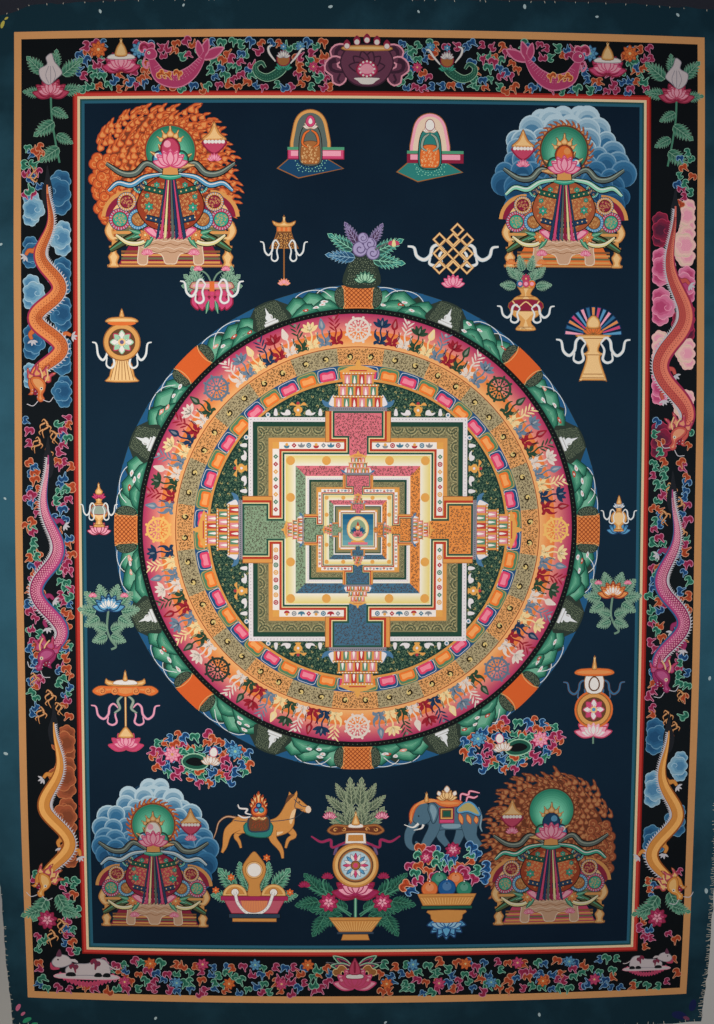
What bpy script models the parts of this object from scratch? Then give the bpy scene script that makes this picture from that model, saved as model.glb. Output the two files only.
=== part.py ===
"""Thangka: one painted cotton canvas, cut from its stretcher and hanging by its top edge.

The cloth is a single sheet without lining, brocade or rod. Glue and pigment have drawn its
front, so it hangs nearly flat in the middle and its corners roll back from the painted side.
Its cut edges run unevenly outside the painted frame.

World axes: +X to the right and +Z up as the painting is looked at, the painted side faces -Y.
The origin is the middle of the top edge. Units are metres.
"""
import math

import bmesh
import bpy

# Painted frame, measured over the outer edge of its ochre line
FRAME_WIDTH = 0.700
FRAME_HEIGHT = 1.000

# Canvas with its glue ground and pigment
THICKNESS = 0.0012

# Cloth left outside the painted frame: share along the edge, width of the margin there.
# The top and bottom edges run from left to right, the side edges from the bottom up.
TOP_MARGIN = ((0.00, 0.0170), (0.06, 0.0280), (0.22, 0.0300), (0.41, 0.0310), (0.62, 0.0300),
              (0.83, 0.0315), (1.00, 0.0290))
BOTTOM_MARGIN = ((0.00, 0.0320), (0.18, 0.0350), (0.50, 0.0340), (0.78, 0.0352), (1.00, 0.0340))
LEFT_MARGIN = ((0.00, 0.0180), (0.08, 0.0225), (0.20, 0.0260), (0.45, 0.0238), (0.70, 0.0250),
               (0.90, 0.0205), (1.00, 0.0160))
RIGHT_MARGIN = ((0.00, 0.0190), (0.07, 0.0230), (0.18, 0.0250), (0.42, 0.0236), (0.68, 0.0252),
                (0.90, 0.0235), (1.00, 0.0205))

# How far the cloth lies behind its middle, at the painted frame
SIDES_BACK = 0.0041
ENDS_BACK = 0.0114
CORNERS_BACK = 0.0156
FOOT_FURTHER_BACK = 0.0068

# Slow ripple that dies out from the side edges to the middle
RIPPLE_DEPTH = 0.0009
RIPPLE_LENGTH = 0.290

# Cells of the sheet's mesh
CELLS_ACROSS = 20
CELLS_DOWN = 28

CANVAS_COLOUR = (0.022, 0.045, 0.062, 1.0)


def margin_at(table, share):
    """Width of the margin at a share of the edge's length, eased between the table's rows."""
    for (start, first), (end, last) in zip(table, table[1:]):
        if share <= end:
            part = (share - start) / (end - start)
            eased = part * part * (3.0 - 2.0 * part)
            return first + (last - first) * eased
    return table[-1][1]


def flat_place(across, up):
    """Flat position of a mesh point, from its shares of the width and of the height.

    The result is measured from the middle of the painted frame's upper line.
    """
    left = -FRAME_WIDTH / 2.0 - margin_at(LEFT_MARGIN, up)
    right = FRAME_WIDTH / 2.0 + margin_at(RIGHT_MARGIN, up)
    foot = -FRAME_HEIGHT - margin_at(BOTTOM_MARGIN, across)
    head = margin_at(TOP_MARGIN, across)
    return left + (right - left) * across, foot + (head - foot) * up


def depth_at(x, height):
    """Distance of the cloth behind its middle point, from the flat position."""
    side = x / (FRAME_WIDTH / 2.0)
    end = (height + FRAME_HEIGHT / 2.0) / (FRAME_HEIGHT / 2.0)
    curl = (
        SIDES_BACK * side ** 2
        + ENDS_BACK * end ** 2
        + CORNERS_BACK * side ** 2 * end ** 2
        - FOOT_FURTHER_BACK * end ** 3
    )
    ripple = RIPPLE_DEPTH * side ** 3 * math.sin(2.0 * math.pi * height / RIPPLE_LENGTH)
    return curl + ripple


def canvas_mesh():
    """Closed sheet: a front and a back grid of the same outline, joined along the four edges."""
    head_height = margin_at(TOP_MARGIN, 0.5)
    head_depth = depth_at(0.0, head_height)
    sheet = bmesh.new()
    grids = []
    for offset in (-THICKNESS / 2.0, THICKNESS / 2.0):
        rows = []
        for row in range(CELLS_DOWN + 1):
            points = []
            for column in range(CELLS_ACROSS + 1):
                x, height = flat_place(column / CELLS_ACROSS, row / CELLS_DOWN)
                depth = depth_at(x, height) - head_depth
                points.append(sheet.verts.new((x, depth + offset, height - head_height)))
            rows.append(points)
        grids.append(rows)
    front, back = grids
    for row in range(CELLS_DOWN):
        for column in range(CELLS_ACROSS):
            cell = ((row, column), (row, column + 1), (row + 1, column + 1), (row + 1, column))
            sheet.faces.new([front[r][c] for r, c in cell])
            sheet.faces.new([back[r][c] for r, c in reversed(cell)])
    rim = [(0, column) for column in range(CELLS_ACROSS)]
    rim += [(row, CELLS_ACROSS) for row in range(CELLS_DOWN)]
    rim += [(CELLS_DOWN, column) for column in range(CELLS_ACROSS, 0, -1)]
    rim += [(row, 0) for row in range(CELLS_DOWN, 0, -1)]
    for here, there in zip(rim, rim[1:] + rim[:1]):
        sheet.faces.new((
            front[there[0]][there[1]],
            front[here[0]][here[1]],
            back[here[0]][here[1]],
            back[there[0]][there[1]],
        ))
    mesh = bpy.data.meshes.new("canvas")
    sheet.to_mesh(mesh)
    sheet.free()
    return mesh


def painted_cotton():
    """Cotton canvas under glue ground and matt mineral pigment."""
    material = bpy.data.materials.new("painted_cotton")
    material.use_nodes = True
    shader = material.node_tree.nodes["Principled BSDF"]
    shader.inputs["Base Color"].default_value = CANVAS_COLOUR
    shader.inputs["Roughness"].default_value = 0.85
    shader.inputs["Metallic"].default_value = 0.0
    return material


for leftover in list(bpy.data.objects):
    bpy.data.objects.remove(leftover, do_unlink=True)

canvas = bpy.data.objects.new("canvas", canvas_mesh())
canvas.data.materials.append(painted_cotton())
bpy.context.collection.objects.link(canvas)
canvas.data.shade_smooth()
canvas.data.set_sharp_from_angle(angle=math.radians(40.0))
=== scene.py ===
"""Thangka: a mandala painted on one cotton canvas, cut from its stretcher and hung by its top edge.

The painting is made as a painter lays it: ground colours first, then each motif coat by coat.
Places on it are complex numbers, millimetres right (real) and up (imaginary) from the middle of the
painted frame's upper line.
"""
import math
import random

import bpy
import numpy as np
from mathutils import Matrix, Vector
from mathutils.geometry import tessellate_polygon


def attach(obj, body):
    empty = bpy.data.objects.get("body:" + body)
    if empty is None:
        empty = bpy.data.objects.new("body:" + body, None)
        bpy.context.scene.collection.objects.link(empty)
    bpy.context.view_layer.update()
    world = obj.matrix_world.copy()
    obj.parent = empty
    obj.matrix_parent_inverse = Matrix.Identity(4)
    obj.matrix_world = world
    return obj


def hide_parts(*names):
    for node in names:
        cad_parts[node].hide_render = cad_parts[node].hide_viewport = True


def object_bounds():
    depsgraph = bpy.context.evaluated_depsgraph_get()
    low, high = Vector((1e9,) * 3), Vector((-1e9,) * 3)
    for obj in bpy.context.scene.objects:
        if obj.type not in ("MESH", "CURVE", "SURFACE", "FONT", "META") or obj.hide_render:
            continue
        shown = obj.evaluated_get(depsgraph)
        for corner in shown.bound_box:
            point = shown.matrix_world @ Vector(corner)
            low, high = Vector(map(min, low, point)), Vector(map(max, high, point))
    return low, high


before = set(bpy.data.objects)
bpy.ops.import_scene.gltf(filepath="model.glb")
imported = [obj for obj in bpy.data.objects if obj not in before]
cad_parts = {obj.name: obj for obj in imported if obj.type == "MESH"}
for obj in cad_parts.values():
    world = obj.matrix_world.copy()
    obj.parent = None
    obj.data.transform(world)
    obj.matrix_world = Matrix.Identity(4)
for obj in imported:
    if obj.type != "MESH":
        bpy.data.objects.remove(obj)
cad_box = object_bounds()
bpy.context.scene.view_settings.view_transform = "Standard"

# Canvas
# Plain-woven cotton, primed with chalk and hide glue, painted on the front and bare on the back.
# It was cut off its stretcher, so its edges are raw, and the dried glue draws its corners back.

FRAME_WIDTH = 700
FRAME_HEIGHT = 1000
CLOTH_THICKNESS = 1.2
TOP_MARGIN = ((0, 17), (0.06, 28), (0.22, 30), (0.41, 31), (0.62, 30), (0.83, 31.5), (1, 29))
BOTTOM_MARGIN = ((0, 32), (0.18, 35), (0.5, 34), (0.78, 35.2), (1, 34))
LEFT_MARGIN = ((0, 18), (0.08, 22.5), (0.2, 26), (0.45, 23.8), (0.7, 25), (0.9, 20.5), (1, 16))
RIGHT_MARGIN = ((0, 19), (0.07, 23), (0.18, 25), (0.42, 23.6), (0.68, 25.2), (0.9, 23.5), (1, 20.5))
SIDES_BACK = 4.1
ENDS_BACK = 11.4
CORNERS_BACK = 15.6
FOOT_FURTHER_BACK = 6.8
RIPPLE_DEPTH = 0.9
RIPPLE_LENGTH = 290
CELLS_ACROSS = 110
CELLS_DOWN = 156
CUT_WANDER = 0.5
WEAVE_PITCH_MM = 1.5  # real threads lie 0.5 mm apart, too fine to show at this distance
COTTON = "#b9ab92"
STAINED_COTTON = "#a39376"
# Dark and light ends of the teal wash; its dark end also gives the painted shade at the head and the foot.
MARGIN_TEAL = ("#102a36", "#2c5769")


def from_hex(colour):
    """Linear colour of an sRGB hex value."""
    parts = [int(colour[i:i + 2], 16) / 255 for i in (1, 3, 5)]
    linear = [c / 12.92 if c <= 0.04045 else ((c + 0.055) / 1.055) ** 2.4 for c in parts]
    return (*linear, 1)


def node(tree, kind, inputs=None, **settings):
    """New shader node: settings are its own properties, inputs fill or link its sockets."""
    made = tree.nodes.new(kind)
    for name, value in settings.items():
        setattr(made, name, value)
    for socket, value in (inputs or {}).items():
        if isinstance(value, bpy.types.NodeSocket):
            tree.links.new(value, made.inputs[socket])
        else:
            made.inputs[socket].default_value = value
    return made


def margin_at(table, share):
    """Width of the margin at a share of the edge's length, eased between the table's rows."""
    starts, widths = np.array(table).T
    row = np.clip(np.searchsorted(starts, share) - 1, 0, len(starts) - 2)
    part = np.clip((share - starts[row]) / (starts[row + 1] - starts[row]), 0, 1)
    return widths[row] + (widths[row + 1] - widths[row]) * part * part * (3 - 2 * part)


def depth_at(places):
    """How far the cloth lies behind its middle, in millimetres, at flat places on it."""
    side = places.real / (FRAME_WIDTH / 2)
    end = (places.imag + FRAME_HEIGHT / 2) / (FRAME_HEIGHT / 2)
    curl = (SIDES_BACK * side ** 2 + ENDS_BACK * end ** 2 + CORNERS_BACK * side ** 2 * end ** 2
        - FOOT_FURTHER_BACK * end ** 3)
    return curl + RIPPLE_DEPTH * side ** 3 * np.sin(2 * math.pi * places.imag / RIPPLE_LENGTH)


def on_cloth(places, proud=0):
    """World points, in metres, of flat places on the painted face, lifted proud of it in mm."""
    head = complex(0, margin_at(TOP_MARGIN, 0.5))
    depth = depth_at(places) - depth_at(np.array([head]))[0] - CLOTH_THICKNESS / 2 - proud
    return np.stack([places.real, depth, places.imag - head.imag], axis=1) / 1000


def weave_bump(tree, strength):
    """Bump of the plain weave, read from the cloth's own map in metres."""
    cloth = node(tree, "ShaderNodeUVMap", uv_map="Cloth")
    threads = []
    for direction in ("X", "Y"):
        wave = node(tree, "ShaderNodeTexWave", {"Vector": cloth.outputs["UV"],
            "Scale": 2 * math.pi * 1000 / WEAVE_PITCH_MM / 20, "Distortion": 2, "Detail": 1,
            "Detail Scale": 1.5}, wave_type="BANDS", bands_direction=direction)
        threads.append(wave.outputs["Fac"])
    woven = node(tree, "ShaderNodeMath", {0: threads[0], 1: threads[1]}, operation="MULTIPLY")
    return node(tree, "ShaderNodeBump", {"Height": woven.outputs[0], "Strength": strength,
        "Distance": 0.0002})


def matt_paint(name, roughness=0.86):
    """Principled material with the dull gloss of glue paint, ready for its colour and bump."""
    material = bpy.data.materials.new(name)
    material.use_nodes = True
    shader = material.node_tree.nodes["Principled BSDF"]
    shader.inputs["Roughness"].default_value = roughness
    shader.inputs["Specular IOR Level"].default_value = 0.08
    return (material, material.node_tree, shader)


def two_tones(tree, shader, amount, *tones):
    """Colour a shader by an amount, from one (place, colour) to the other."""
    ramp = node(tree, "ShaderNodeValToRGB", {"Fac": amount})
    for number, (place, colour) in enumerate(tones):
        ramp.color_ramp.elements[number].position = place
        ramp.color_ramp.elements[number].color = from_hex(colour)
    tree.links.new(ramp.outputs["Color"], shader.inputs["Base Color"])


def washed_ground(name, dark, light, patch_mm, bump=0.25):
    """Broad ground of one pigment, brushed on wet: it dries in soft patches. It is also darkened towards
    the head and the foot of the cloth, as painted shade where the light falls off there."""
    material, tree, shader = matt_paint(name)
    cloth = node(tree, "ShaderNodeUVMap", uv_map="Cloth")
    clouds = node(tree, "ShaderNodeTexNoise", {"Vector": cloth.outputs["UV"], "Scale": 1000 / patch_mm,
        "Detail": 5, "Roughness": 0.55})
    across_up = node(tree, "ShaderNodeSeparateXYZ", {"Vector": cloth.outputs["UV"]})
    from_middle = node(tree, "ShaderNodeMath", {0: across_up.outputs["Y"], 1: 0.53}, operation="ADD")
    reach = node(tree, "ShaderNodeMath", {0: from_middle.outputs[0]}, operation="ABSOLUTE")
    # Painted shade: 1 at the middle of the cloth, falling to 0 towards its head and its foot.
    painted_light_falloff = node(tree, "ShaderNodeMapRange", {"Value": reach.outputs[0], "From Min": 0.06,
        "From Max": 0.52, "To Min": 1, "To Max": 0})
    mottle = node(tree, "ShaderNodeMapRange", {"Value": clouds.outputs["Fac"], "From Min": 0.3,
        "From Max": 0.72, "To Min": -0.22, "To Max": 0.22})
    depth = node(tree, "ShaderNodeMath", {0: painted_light_falloff.outputs[0], 1: mottle.outputs[0]}, operation="ADD")
    two_tones(tree, shader, depth.outputs[0], (0, dark), (1, light))
    tree.links.new(weave_bump(tree, bump).outputs["Normal"], shader.inputs["Normal"])
    return material


def bare_cotton():
    """Unpainted reverse: unbleached cotton, yellowed in patches where the glue came through."""
    material, tree, shader = matt_paint("bare_cotton", 0.92)
    cloth = node(tree, "ShaderNodeUVMap", uv_map="Cloth")
    stains = node(tree, "ShaderNodeTexNoise", {"Vector": cloth.outputs["UV"], "Scale": 9, "Detail": 4})
    two_tones(tree, shader, stains.outputs["Fac"], (0.35, STAINED_COTTON), (0.65, COTTON))
    tree.links.new(weave_bump(tree, 0.6).outputs["Normal"], shader.inputs["Normal"])
    return material


bpy.ops.object.select_all(action="DESELECT")
bpy.ops.mesh.primitive_grid_add(x_subdivisions=CELLS_ACROSS, y_subdivisions=CELLS_DOWN, size=1)
canvas = bpy.context.object
canvas.name = "painted_cloth"
corner_count = len(canvas.data.vertices)
shares = np.empty(corner_count * 3)
canvas.data.vertices.foreach_get("co", shares)
across, up = (shares.reshape(-1, 3)[:, 0] + 0.5, shares.reshape(-1, 3)[:, 1] + 0.5)
left = -FRAME_WIDTH / 2 - margin_at(LEFT_MARGIN, up)
right = FRAME_WIDTH / 2 + margin_at(RIGHT_MARGIN, up)
foot = -FRAME_HEIGHT - margin_at(BOTTOM_MARGIN, across)
head = margin_at(TOP_MARGIN, across)
flat = left + (right - left) * across + 1j * (foot + (head - foot) * up)
wander = np.random.default_rng(11).normal(0, CUT_WANDER, (corner_count, 2))
on_side = (across < 0.001) | (across > 0.999)
on_end = (up < 0.001) | (up > 0.999)
flat += np.where(on_side, wander[:, 0], 0) + 1j * np.where(on_end, wander[:, 1], 0)
canvas.data.vertices.foreach_set("co", on_cloth(flat).ravel())
solidify = canvas.modifiers.new("cloth", "SOLIDIFY")
solidify.thickness = CLOTH_THICKNESS / 1000
solidify.offset = -1
solidify.material_offset = 1
solidify.material_offset_rim = 1
canvas.data.materials.append(washed_ground("indigo_teal_wash", *MARGIN_TEAL, patch_mm=60))
canvas.data.materials.append(bare_cotton())
bpy.ops.object.modifier_apply(modifier="cloth")
bpy.ops.object.shade_smooth_by_angle(angle=math.radians(40))


def map_cloth(mesh):
    """Give a mesh the cloth's map in metres, and a bake map with front and back side by side."""
    count = len(mesh.loops)
    vertex = np.empty(count, int)
    mesh.loops.foreach_get("vertex_index", vertex)
    place = np.empty(len(mesh.vertices) * 3)
    mesh.vertices.foreach_get("co", place)
    place = place.reshape(-1, 3)[vertex][:, [0, 2]]
    slots = np.repeat([p.material_index for p in mesh.polygons], [p.loop_total for p in mesh.polygons])
    low, size = (place.min(axis=0), np.ptp(place, axis=0).max())
    bake = (place - low) / size * 0.98 + 0.01
    reverse = (place - low) / size * (0.24, 0.9) + (0.75, 0.02)
    bake = np.where((slots == 1)[:, None] & (mesh.name == "painted_cloth"), reverse, bake)
    for name, values in (("Cloth", place), ("OFBake", bake)):
        layer = mesh.uv_layers.get(name) or mesh.uv_layers.new(name=name)
        layer.data.foreach_set("uv", values.ravel())


canvas.data.name = "painted_cloth"
for spare in [layer.name for layer in canvas.data.uv_layers]:
    canvas.data.uv_layers.remove(canvas.data.uv_layers[spare])
map_cloth(canvas.data)
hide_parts("canvas")
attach(canvas, "root")

# Frame lines and grounds
# Ochre line, black border, the five-colour fillet and the indigo field, ruled on the primed cloth
# before any figure. Here the painter's kit is defined too: coats, strokes and how they are laid.

COAT = 0.01  # each coat lies this far above the last, in millimetres
FIRST_COAT = 0.05
LONGEST_EDGE = 14
RELIEF_CELL = 0.8
RELIEF_ORIGIN = -390 - 1050j
RELIEF_ROWS = 1400
RELIEF_COLUMNS = 980
relief = np.zeros(RELIEF_COLUMNS * RELIEF_ROWS, int)
OCHRE_WIDTH = 7.4
BORDER_WIDTH = 62
FIELD = (-290, 294, -948.5, -61)  # outer edge of the fillet: left, right, bottom, top
FILLET = (("vermilion_edge", 1.6), ("vermilion", 3), ("cream", 2.6), ("verdigris_line", 1.8),
    ("azurite_line", 2.8))
MIX_STEPS = 100
PIGMENTS = {"ochre_line": "#c08b5a", "lamp_black": "#12161a", "vermilion_edge": "#8c1f1a",
    "vermilion": "#b93a33", "cream": "#d8c09a", "verdigris_line": "#1f4a4c", "azurite_line": "#275a70"}
paint_materials = {}


def pigment_hex(name):
    """Hex colour of a pigment, or of a mixture written as first~second~share."""
    if "~" not in name:
        return PIGMENTS[name]
    first, second, share = name.split("~")
    share = int(share) / MIX_STEPS
    one, two = (np.array([int(PIGMENTS[n][i:i + 2], 16) for i in (1, 3, 5)]) for n in (first, second))
    return "#" + "".join((f'{int(round(v)):02x}' for v in one + (two - one) * share))


def mixed(first, second, share):
    """Name of a mixture of two pigments."""
    return f'{first}~{second}~{int(round(share * MIX_STEPS))}'


def paint_material(name):
    """Mineral pigment in hide glue: matt and grainy, with the weave showing through it."""
    if name not in paint_materials:
        material, tree, shader = matt_paint(name.replace("~", "_"))
        shader.inputs["Base Color"].default_value = from_hex(pigment_hex(name))
        tree.links.new(weave_bump(tree, 0.25).outputs["Normal"], shader.inputs["Normal"])
        paint_materials[name] = material
    return paint_materials[name]


def plotted(points):
    """Points as complex numbers. Text gives them as "x,y x,y", in millimetres.

    A bar in the text stands for the points before it, mirrored left to right in reverse order.
    A text that begins with ~, or ~ and a number, is an outline to be smoothed.
    """
    if not isinstance(points, str):
        return np.asarray(points, complex)
    if points[0] == "~":
        mark, text = points.split(" ", 1)
        return smooth(text, int(mark[1:] or 3))
    half, bar, rest = points.partition(" |")
    half, rest = ([complex(*map(float, pair.split(","))) for pair in part.split()] for part in (half, rest))
    if bar:
        half += [complex(-p.real, p.imag) for p in reversed(half) if p.real]
    return np.array(half + rest)


def spread(text, width, height):
    """Plotted points whose numbers are shares of a width and of a height."""
    points = plotted(text)
    return points.real * width + 1j * points.imag * height


def facing(side, text):
    """Plotted points, mirrored left to right where the side is -1."""
    points = plotted(text)
    return points.real * side + 1j * points.imag


def heading(degrees):
    """Unit step that points so many degrees anticlockwise from the right."""
    return np.exp(1j * math.radians(degrees))


def through(before, here, after, later, per):
    """Points of an even curve, so many from each given point to the next."""
    t = np.arange(per) / per
    before, here, after, later = (p[:, None] for p in (before, here, after, later))
    return 0.5 * (2 * here + (after - before) * t + (2 * before - 5 * here + 4 * after - later) * t ** 2
                  + (3 * here - before - 3 * after + later) * t ** 3).ravel()


def smooth(points, per=3):
    """Even closed curve through a few points."""
    points = plotted(points)
    return through(*(np.roll(points, k) for k in (1, 0, -1, -2)), per)


def curve(points, per=3):
    """Even open curve through a few points."""
    points = plotted(points)
    longer = np.concatenate([[2 * points[0] - points[1]], points, [2 * points[-1] - points[-2]]])
    return np.append(through(longer[:-3], longer[1:-2], longer[2:-1], longer[3:], per), points[-1])


def inset(outline, width):
    """Closed outline moved inwards by a width all round."""
    ring = plotted(outline)
    if np.sum((np.conj(ring) * np.roll(ring, -1)).imag) < 0:
        ring = ring[::-1]
    ahead = np.roll(ring, -1) - ring
    ahead = ahead / np.maximum(np.abs(ahead), 1e-09)
    normals = 1j * ahead + 1j * np.roll(ahead, 1)
    reach = np.maximum(np.abs(normals) ** 2 / 2, 0.45)
    return ring + normals / reach * width


def box(left, right, bottom, top):
    """Rectangle's corners."""
    return np.array([complex(left, bottom), complex(right, bottom), complex(right, top),
        complex(left, top)])


def disc(centre, radius, sides=20):
    """Circle's points."""
    return centre + radius * np.exp(2j * math.pi * np.arange(sides) / sides)


def ladder(count, closed=False):
    """Triangles between a row of points and the second row that follows it, of as many points."""
    here = np.arange(count if closed else count - 1)
    there = (here + 1) % count
    return np.concatenate([np.stack([here, there, there + count], 1),
        np.stack([here, there + count, here + count], 1)])


class Motif:
    """A painted motif: patches of pigment, each on a coat above the one before unless told."""

    def __init__(self, coat=0):
        self.patches = []
        self.coat = coat

    def lay(self, pigment, points, triangles, up=1):
        """Add a patch, up coats above the last one."""
        self.coat += up
        self.patches.append((pigment, self.coat, np.asarray(points, complex), np.asarray(triangles)))
        return self

    def fill(self, pigment, outline, up=1):
        """Fill a closed outline."""
        outline = plotted(outline)
        corners = [Vector((p.real, p.imag, 0)) for p in outline]
        return self.lay(pigment, outline, tessellate_polygon([corners]), up)

    def shade(self, outline, *coats):
        """Fill an outline with each coat: "pigment", or "pigment 0.8" where it is laid 0.8 mm inside.

        A coat may also be a pair of pigment and inset.
        """
        for coat in coats:
            pigment, width = (coat.split() + [0])[:2] if isinstance(coat, str) else coat
            self.fill(pigment, inset(outline, float(width)) if float(width) else outline)
        return self

    def rim(self, pigment, outline, width, up=1):
        """Fill the margin just inside a closed outline."""
        inner = inset(outline, width)
        outer = inset(outline, 0)
        return self.lay(pigment, np.concatenate([outer, inner]), ladder(len(outer), True), up)

    def scatter(self, pigment, shape, places, turns=0, sizes=1, up=1):
        """Repeat a small shape, (points, triangles), at many places on one coat."""
        points, triangles = shape
        places = np.asarray(places, complex)
        spins = np.broadcast_to(sizes * np.exp(1j * np.radians(turns)), places.shape)
        many = (places[:, None] + spins[:, None] * points[None, :]).ravel()
        starts = np.arange(len(places))[:, None, None] * len(points)
        return self.lay(pigment, many, (triangles[None] + starts).reshape(-1, 3), up)

    def bent(self, centre, radius, angle):
        """The motif, drawn along a straight line, bent round a circle: up becomes outwards."""
        turned = Motif(self.coat)
        for pigment, coat, points, triangles in self.patches:
            spoke = np.exp(1j * (math.radians(angle) - points.real / radius))
            turned.patches.append((pigment, coat, centre + (radius + points.imag) * spoke, triangles))
        return turned

    def stroke(self, pigment, path, width, closed=False, up=1):
        """Draw a brush line; width is one number, or one for each point of the path."""
        path = plotted(path)
        ahead, back = (np.roll(path, -1), np.roll(path, 1))
        if not closed:
            ahead[-1] = 2 * path[-1] - path[-2]
            back[0] = 2 * path[0] - path[1]
        way = ahead - back
        side = 0.5j * way / np.maximum(np.abs(way), 1e-09) * np.asarray(width)
        rows = np.concatenate([path + side, path - side])
        return self.lay(pigment, rows, ladder(len(path), closed), up)

    def band(self, pigment, centre, inner, outer, start=0, end=360, step=2.5, up=1):
        """Fill a ring, or a sector of it between two angles in degrees."""
        count = max(2, int(math.ceil(abs(end - start) / step)) + 1)
        spokes = np.exp(1j * np.radians(np.linspace(start, end, count)))
        rows = np.concatenate([centre + spokes * inner, centre + spokes * outer])
        return self.lay(pigment, rows, ladder(count), up)

    def put(self, other, at=0, turn=0, size=1, flip=False, beside=False):
        """Copy another motif here, turned by degrees, scaled and mirrored.

        A copy beside the others starts on the same coat as they did.
        """
        spin = size * heading(turn)
        first = min((patch[1] for patch in other.patches))
        for pigment, coat, points, triangles in other.patches:
            points = -np.conj(points) if flip else points
            coat += self.coat + 1 - first
            self.patches.append((pigment, coat, points * spin + at, triangles))
        if not beside:
            self.coat = max((patch[1] for patch in self.patches))
        return self


def cut_fine(points, triangles):
    """Halve long triangles until every edge is short enough to follow the cloth."""
    points, done, work = (list(points), [], [tuple(t) for t in triangles])
    middles = {}
    while work:
        corner = work.pop()
        lengths = [abs(points[corner[k]] - points[corner[(k + 1) % 3]]) for k in range(3)]
        k = int(np.argmax(lengths))
        if lengths[k] <= LONGEST_EDGE:
            done.append(corner)
            continue
        a, b, c = (corner[k], corner[(k + 1) % 3], corner[(k + 2) % 3])
        key = (min(a, b), max(a, b))
        if key not in middles:
            middles[key] = len(points)
            points.append((points[a] + points[b]) / 2)
        work += [(a, middles[key], c), (middles[key], b, c)]
    return (np.array(points), np.array(done))


def covered(points, triangles):
    """Which cells of the relief map have their middle, or a triangle's middle, under each triangle.

    Returns the cells and, for each, the number of its triangle.
    """
    corners = (points[triangles] - RELIEF_ORIGIN) / RELIEF_CELL
    x, y = (corners.real, corners.imag)
    low_x, low_y = (np.ceil(x.min(axis=1) - 0.5).astype(int), np.ceil(y.min(axis=1) - 0.5).astype(int))
    wide = np.floor(x.max(axis=1) - 0.5).astype(int) - low_x
    tall = np.floor(y.max(axis=1) - 0.5).astype(int) - low_y
    middle = corners.mean(axis=1)
    cells = [middle.real.astype(int) * RELIEF_ROWS + middle.imag.astype(int)]
    numbers = [np.arange(len(triangles))]
    for right in range(wide.max() + 1):
        for up in range(tall.max() + 1):
            pick = np.flatnonzero((wide >= right) & (tall >= up))
            cell_x, cell_y = (low_x[pick] + right, low_y[pick] + up)
            at = cell_x + 0.5 + 1j * (cell_y + 0.5)
            sides = [(np.conj(np.roll(corners, -k, axis=1)[pick, 1] - corners[pick, k])
                * (at - corners[pick, k])).imag for k in range(3)]
            inside = (np.min(sides, axis=0) >= 0) | (np.max(sides, axis=0) <= 0)
            cells.append((cell_x * RELIEF_ROWS + cell_y)[inside])
            numbers.append(pick[inside])
    return (np.concatenate(cells), np.concatenate(numbers))


def lay_paint(name, motif, grounds=None):
    """Make one piece of all the patches of a motif, lying on the cloth, and let it ride there.

    A patch lies one coat above the highest paint that was already under any part of it.
    """
    grounds = grounds or {}
    used = sorted({patch[0] for patch in motif.patches})
    patches = sorted(motif.patches, key=lambda patch: patch[1])
    points, triangles, owners, total = ([], [], [], 0)
    for number, (*_, places, corners) in enumerate(patches):
        edges = places[corners] - places[np.roll(corners, -1, axis=1)]
        if np.abs(edges).max() > LONGEST_EDGE:
            places, corners = cut_fine(places, corners)
        a, b, c = (places[corners[:, k]] for k in range(3))
        turned = (np.conj(b - a) * (c - a)).imag
        corners = np.where((turned < 0)[:, None], corners[:, ::-1], corners)[np.abs(turned) > 1e-05]
        points.append(places)
        triangles.append(corners + total)
        owners.append(np.full(len(corners), number))
        total += len(places)
    points, triangles, owners = (np.concatenate(part) for part in (points, triangles, owners))
    cells, numbers = covered(points, triangles)
    order = np.argsort(owners[numbers], kind="stable")
    cells, numbers = (cells[order], owners[numbers[order]])
    starts = np.searchsorted(numbers, np.arange(len(patches) + 1))
    coats = np.zeros(len(patches), int)
    first = 0
    while first < len(patches):
        last = first
        while last < len(patches) and patches[last][1] == patches[first][1]:
            under = cells[starts[last]:starts[last + 1]]
            coats[last] = 1 + (relief[under].max() if len(under) else 0)
            last += 1
        for number in range(first, last):
            under = cells[starts[number]:starts[number + 1]]
            relief[under] = np.maximum(relief[under], coats[number])
        first = last
    heights = np.zeros(len(points))
    heights[triangles.ravel()] = FIRST_COAT + np.repeat(coats[owners], 3) * COAT
    mesh = bpy.data.meshes.new(name)
    mesh.vertices.add(len(points))
    mesh.vertices.foreach_set("co", on_cloth(points, heights).ravel())
    mesh.loops.add(len(triangles) * 3)
    mesh.loops.foreach_set("vertex_index", triangles.ravel().astype(np.int32))
    mesh.polygons.add(len(triangles))
    mesh.polygons.foreach_set("loop_start", np.arange(0, len(triangles) * 3, 3, dtype=np.int32))
    mesh.polygons.foreach_set("loop_total", np.full(len(triangles), 3, dtype=np.int32))
    slots = np.array([used.index(patch[0]) for patch in patches])
    mesh.polygons.foreach_set("material_index", slots[owners].astype(np.int32))
    mesh.update()
    mesh.validate()
    for pigment in used:
        mesh.materials.append(grounds.get(pigment) or paint_material(pigment))
    map_cloth(mesh)
    piece = bpy.data.objects.new(name, mesh)
    bpy.context.collection.objects.link(piece)
    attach(piece, "root")
    print(f'{name}: {len(triangles)} triangles, {len(used)} pigments, {coats.max()} coats')
    return piece


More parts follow.
